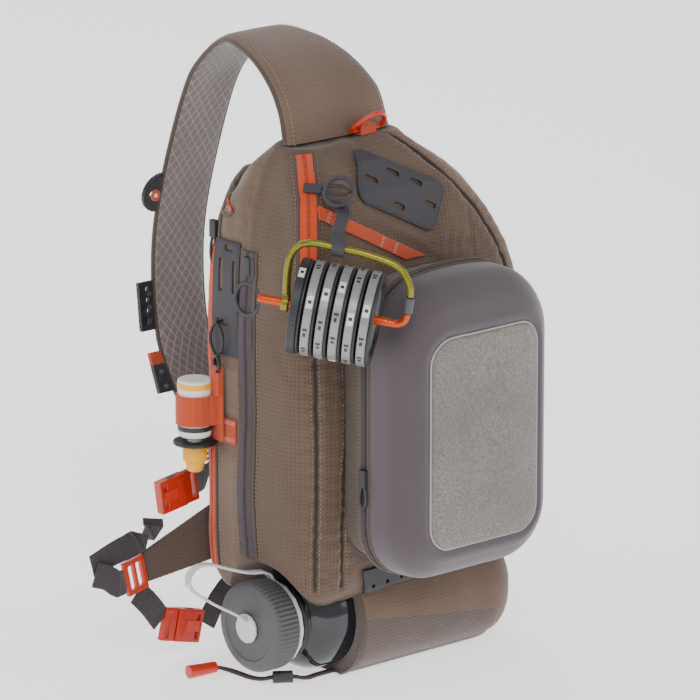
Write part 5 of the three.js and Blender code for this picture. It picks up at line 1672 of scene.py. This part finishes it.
@dataclass
class Hardware:
    """The patches, webbing, buckles, rings and pulls, each rounded from its solid."""

    parts: tuple = (
        ("main_zip_pull", PULL, 0.4, 4, 0.6), ("mid_zip_pull", PULL, 0.4, 4, 0.6),
        ("top_zip_pull", PULL, 0.4, 4, 0.6),
        ("side_patch", RUBBER, 0.6, 4, 0.6), ("top_patch", RUBBER, 0.6, 4, 0.6),
        ("accent_webbing", WEB_ORANGE, 0.6, 4, 0.6), ("side_webbing_loop", WEB_ORANGE, 0.5, 4, 0.6),
        ("d_ring", RED, 0.45, 10, 0.6), ("d_ring_webbing", WEB_ORANGE, 0.5, 4, 0.6),
        ("upper_buckle_plug", RED, 0.5, 4, 0.5), ("upper_buckle_socket", RED, 0.5, 4, 0.5),
        ("lower_buckle_plug", RED, 0.5, 4, 0.5), ("lower_buckle_socket", RED, 0.5, 4, 0.5),
        # The wing takes the darker ripstop copy, which paints the shade on it.
        ("ladder_lock", RED, 0.5, 4, 0.5), ("wing", SHADED_RIPSTOP, 0.9, 8, 0.7),
        ("strap_end_webbing", WEB_DARK, 0.4, 5, 0.4), ("upper_webbing", WEB_DARK, 0.45, 5, 0.4),
        ("webbing_tail", WEB_DARK, 0.6, 8, 0.5), ("lower_webbing", WEB_DARK, 0.45, 5, 0.4),
        ("waist_webbing", WEB_DARK, 0.45, 5, 0.4), ("gear_clip", BLACK, 0.4, 6, 0.6),
        ("holster", WEB_ORANGE, 0.45, 3, 0.5), ("floatant_flange", BLACK, 0.45, 4, 0.6),
    )

    def build(self) -> None:
        """Builds every part of the list and the small bottle."""
        for node, finish, voxel, rounds, keep in self.parts:
            moulded(node, finish, voxel, rounds, keep=keep)
        self.buckle_details("upper", mm(-101, 85, 141), mm(-148, 85, 134), UP)
        self.buckle_details("lower", mm(-137, 85, 31), mm(-92, 85, 20), Vector((0.3, 0, 1)))
        self.pull_rings()
        self.sewing()
        self.small_bottle()

    def sewn_on(
        self, name: str, node: str, line: list[Vector], inward: Vector, thread: Finish, pitch: float,
    ) -> None:
        """Sews one line of stitches through a flat fitting.

        Args:
            name: name of the row.
            node: the fitting's solid.
            line: points in front of it.
            inward: direction towards it.
            thread: finish of the thread.
            pitch: distance between stitches in millimetres.
        """
        tree = solid_tree(node)
        spots, outs = [], []
        for point in line:
            spot, out, _, _ = tree.ray_cast(point, inward)
            if spot is not None:
                spots.append(spot - inward * 0.15 * MM)
                outs.append(out)
        if len(spots) > 2:
            stitched(name, spots, outs, thread, pitch, pitch * 0.68, 0.55)

    def sewing(self) -> None:
        """Sews the patches round their edges, and bars across the orange webbing."""
        far = -200

        def turned(x: float, z: float, middle: Pair, degrees: float) -> Vector:
            """Gives a point far in front of the bag, turned about a middle."""
            a = math.radians(degrees)
            across = x * math.cos(a) - z * math.sin(a)
            return mm(middle[0] + across, far, middle[1] + x * math.sin(a) + z * math.cos(a))

        top = [turned(x, z, (-8, 388), -27) for x, z in rounded_ring((-39.8, -17.8), (39.8, 17.8), (6, 6))]
        side = [mm(far, y, z) for y, z in rounded_ring((20, 260), (48, 348), (2, 2))]
        for node, edge, inward in (("top_patch", top, -FRONT), ("side_patch", side, RIGHT)):
            self.sewn_on(f"{node}_stitches", node, resample(edge, 160, closed=True), inward, PULL, 2.6)
        for number, along in enumerate((-50, -48.4, 9, 10.6, 24, 25.6), 1):
            bar = [turned(along, across / 2, (-42, 358), -28) for across in range(-8, 9)]
            self.sewn_on(f"accent_bar_{number}", "accent_webbing", bar, -FRONT, THREAD_WHITE, 1.1)
        for number, z in enumerate((189.5, 191.1, 203, 204.6), 1):
            bar = [mm(far, 23.5 + k * 0.8, z) for k in range(17)]
            self.sewn_on(f"side_loop_bar_{number}", "side_webbing_loop", bar, RIGHT, THREAD_WHITE, 1.1)

    def pull_rings(self) -> None:
        """Hangs the large soft rings in the pulls of the two zippers beside the pocket."""
        wire, sides = 1.8, 12
        for name, hang, out, radius in (
            ("mid", Vector((-0.0015, -0.001, -0.010)), Vector((-1, -0.15, 0.1)), 12.5),
            ("top", Vector((0.006, -0.0085, -0.001)), Vector((-0.7, -0.5, 0.5)), 11.5),
        ):
            low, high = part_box(f"{name}_zip_pull")
            turns = [TURN * i / sides for i in range(sides + 1)]
            profile = [(radius + wire * math.cos(a), wire * math.sin(a)) for a in turns]
            ring = spun((low + high) / 2 + hang, out.normalized(), profile, 40)
            piece(ring, f"{name}_pull_ring", [RUBBER], angle=180)

    def buckle_details(self, name: str, start: Vector, end: Vector, across: Vector) -> None:
        """Adds the side windows, the raised middle and the grips of one buckle.

        Args:
            name: which buckle.
            start: outer end of its plug.
            end: a point along its axis.
            across: direction across its width.
        """
        axis = (end - start).normalized()
        side = (across - axis * across.dot(axis)).normalized()
        normal = axis.cross(side)
        half, thick = 13.5, 4.0
        blocks = (
            ("window", BLACK, [(25, s * (half - 1.2), 0, 8, 3.0, 4.2) for s in (-1, 1)]),
            ("ridge", RED, [(29, 0, s * (thick + 0.1), 14, 9, 1.0) for s in (-1, 1)]
             + [(16.5 + 2.0 * k, 0, s * (thick + 0.05), 0.9, 20, 0.7) for k in range(3) for s in (-1, 1)]),
            ("seam", BLACK, [(13.15, 0, 0, 0.5, 22, 5.0)]),
        )
        turn = facing(axis, side, normal)
        for label, finish, boxes in blocks:
            bm = bmesh.new()
            for u, v, w, *size in boxes:
                at = Matrix.Translation(start + (axis * u + side * v + normal * w) * MM)
                made = bmesh.ops.create_cube(bm, size=1, matrix=at @ turn @ stretch(*size))
                edges = {edge for vert in made["verts"] for edge in vert.link_edges}
                bmesh.ops.bevel(bm, geom=list(edges), offset=0.2 * MM, segments=2, affect="EDGES")
            piece(bm, f"{name}_buckle_{label}", [finish])

    def small_bottle(self) -> None:
        """Builds the frosted bottle with its bare bands and yellow cap."""
        origin = mm(-129, 53, 0)
        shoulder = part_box("floatant_bottle")[1].z / MM
        body = [(0, 248), (5, 247.6), (9.5, 245.5), (12.4, 241.5), (13.3, 237), (13.3, 196), (12.6, 192.5),
                (9, 190.2), (6, 189.6), (6, 184), (0, 184)]
        shifted = [(r, min(z, shoulder)) for r, z in body]
        piece(spun(origin, UP, shifted, 48), "vial_shell", [VIAL], nodes=("floatant_bottle",))
        low, high = (corner.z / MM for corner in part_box("floatant_cap"))
        cap = ((2, low, 0), (5.4, low, 0), (6.4, low + 1, 0), (7.4, low + 7, 1), (9.3, low + 9, 1),
               (9.4, high - 1, 1), (8.8, high, 0), (6.4, high, 0))
        bm = ribbed(cap, 30, 0.25, lambda z, u, v: origin + mm(u, v, z))
        piece(bm, "vial_cap_shell", [YELLOW], nodes=("floatant_cap",), angle=30)
        for name, z0, z1, finish in (("vial_ring", 231, 235.5, YELLOW), ("vial_label", 197, 201, BLACK)):
            profile = [(13.2, z0), (13.75, z0 + 0.2), (13.75, z1 - 0.2), (13.2, z1), (13.2, z0)]
            piece(spun(origin, UP, profile, 48), name, [finish])


# The studio

@dataclass
class Studio:
    """Pale floor, soft light and the camera."""

    lights: tuple = (
        ("key", (-1.9, -2.6, 2.6), 1.6, 62), ("fill", (2.6, -2.2, 1.6), 2.2, 20),
        ("rim", (0.6, 2.4, 2.4), 1.8, 34), ("left", (-2.9, 0.4, 1.2), 1.4, 16),
    )

    def build(self) -> None:
        """Sets up the floor, lights, world and camera."""
        bm = bmesh.new()
        bmesh.ops.create_grid(bm, x_segments=4, y_segments=4, size=4)
        floor = in_scene("studio_floor", mesh_of(bm, "studio_floor"))
        paint = bpy.data.materials.new("pale_floor")
        paint.use_nodes = True
        shader = paint.node_tree.nodes["Principled BSDF"]
        shader.inputs["Base Color"].default_value = (0.9, 0.9, 0.9, 1)
        shader.inputs["Roughness"].default_value = 0.9
        shader.inputs["Emission Color"].default_value = (1, 1, 1, 1)
        shader.inputs["Emission Strength"].default_value = 1.0
        floor.data.materials.append(paint)
        world = bpy.data.worlds.new("studio")
        world.use_nodes = True
        world.node_tree.nodes["Background"].inputs["Color"].default_value = (0.95, 0.97, 1.0, 1)
        world.node_tree.nodes["Background"].inputs["Strength"].default_value = 0.6
        bpy.context.scene.world = world
        aim = Vector((0, 0, 0.25))
        for name, place, size, power in self.lights:
            data = bpy.data.lights.new(name, "AREA")
            data.size, data.energy = size, power
            lamp = in_scene(name, data)
            lamp.location = place
            lamp.rotation_euler = (aim - Vector(place)).to_track_quat("-Z", "Y").to_euler()
        self.camera()

    def camera(self) -> None:
        """Puts the camera at the photograph's angle."""
        target = Vector((0.03443, 0.05259, 0.23182))
        place = Vector((-3.1972, -3.5364, 1.5259))
        data = bpy.data.cameras.new("camera")
        data.sensor_width = 36
        data.lens = 321.4
        data.clip_start, data.clip_end = 0.1, 60
        lens = in_scene("camera", data)
        lens.location = place
        lens.rotation_mode = "QUATERNION"
        lens.rotation_quaternion = (target - place).to_track_quat("-Z", "Y")
        bpy.context.scene.camera = lens


def main() -> None:
    """Builds every sub-assembly in order."""
    logging.basicConfig(level=logging.INFO, format="%(message)s")
    for assembly in (
        Studio(), BottleSleeve(), BagBody(), BackPanel(), ShoulderStrap(), TackleCase(), SpoolHolder(),
        Hardware(),
    ):
        assembly.build()
        LOG.info("built %s", type(assembly).__name__)


if __name__ == "__main__":
    main()
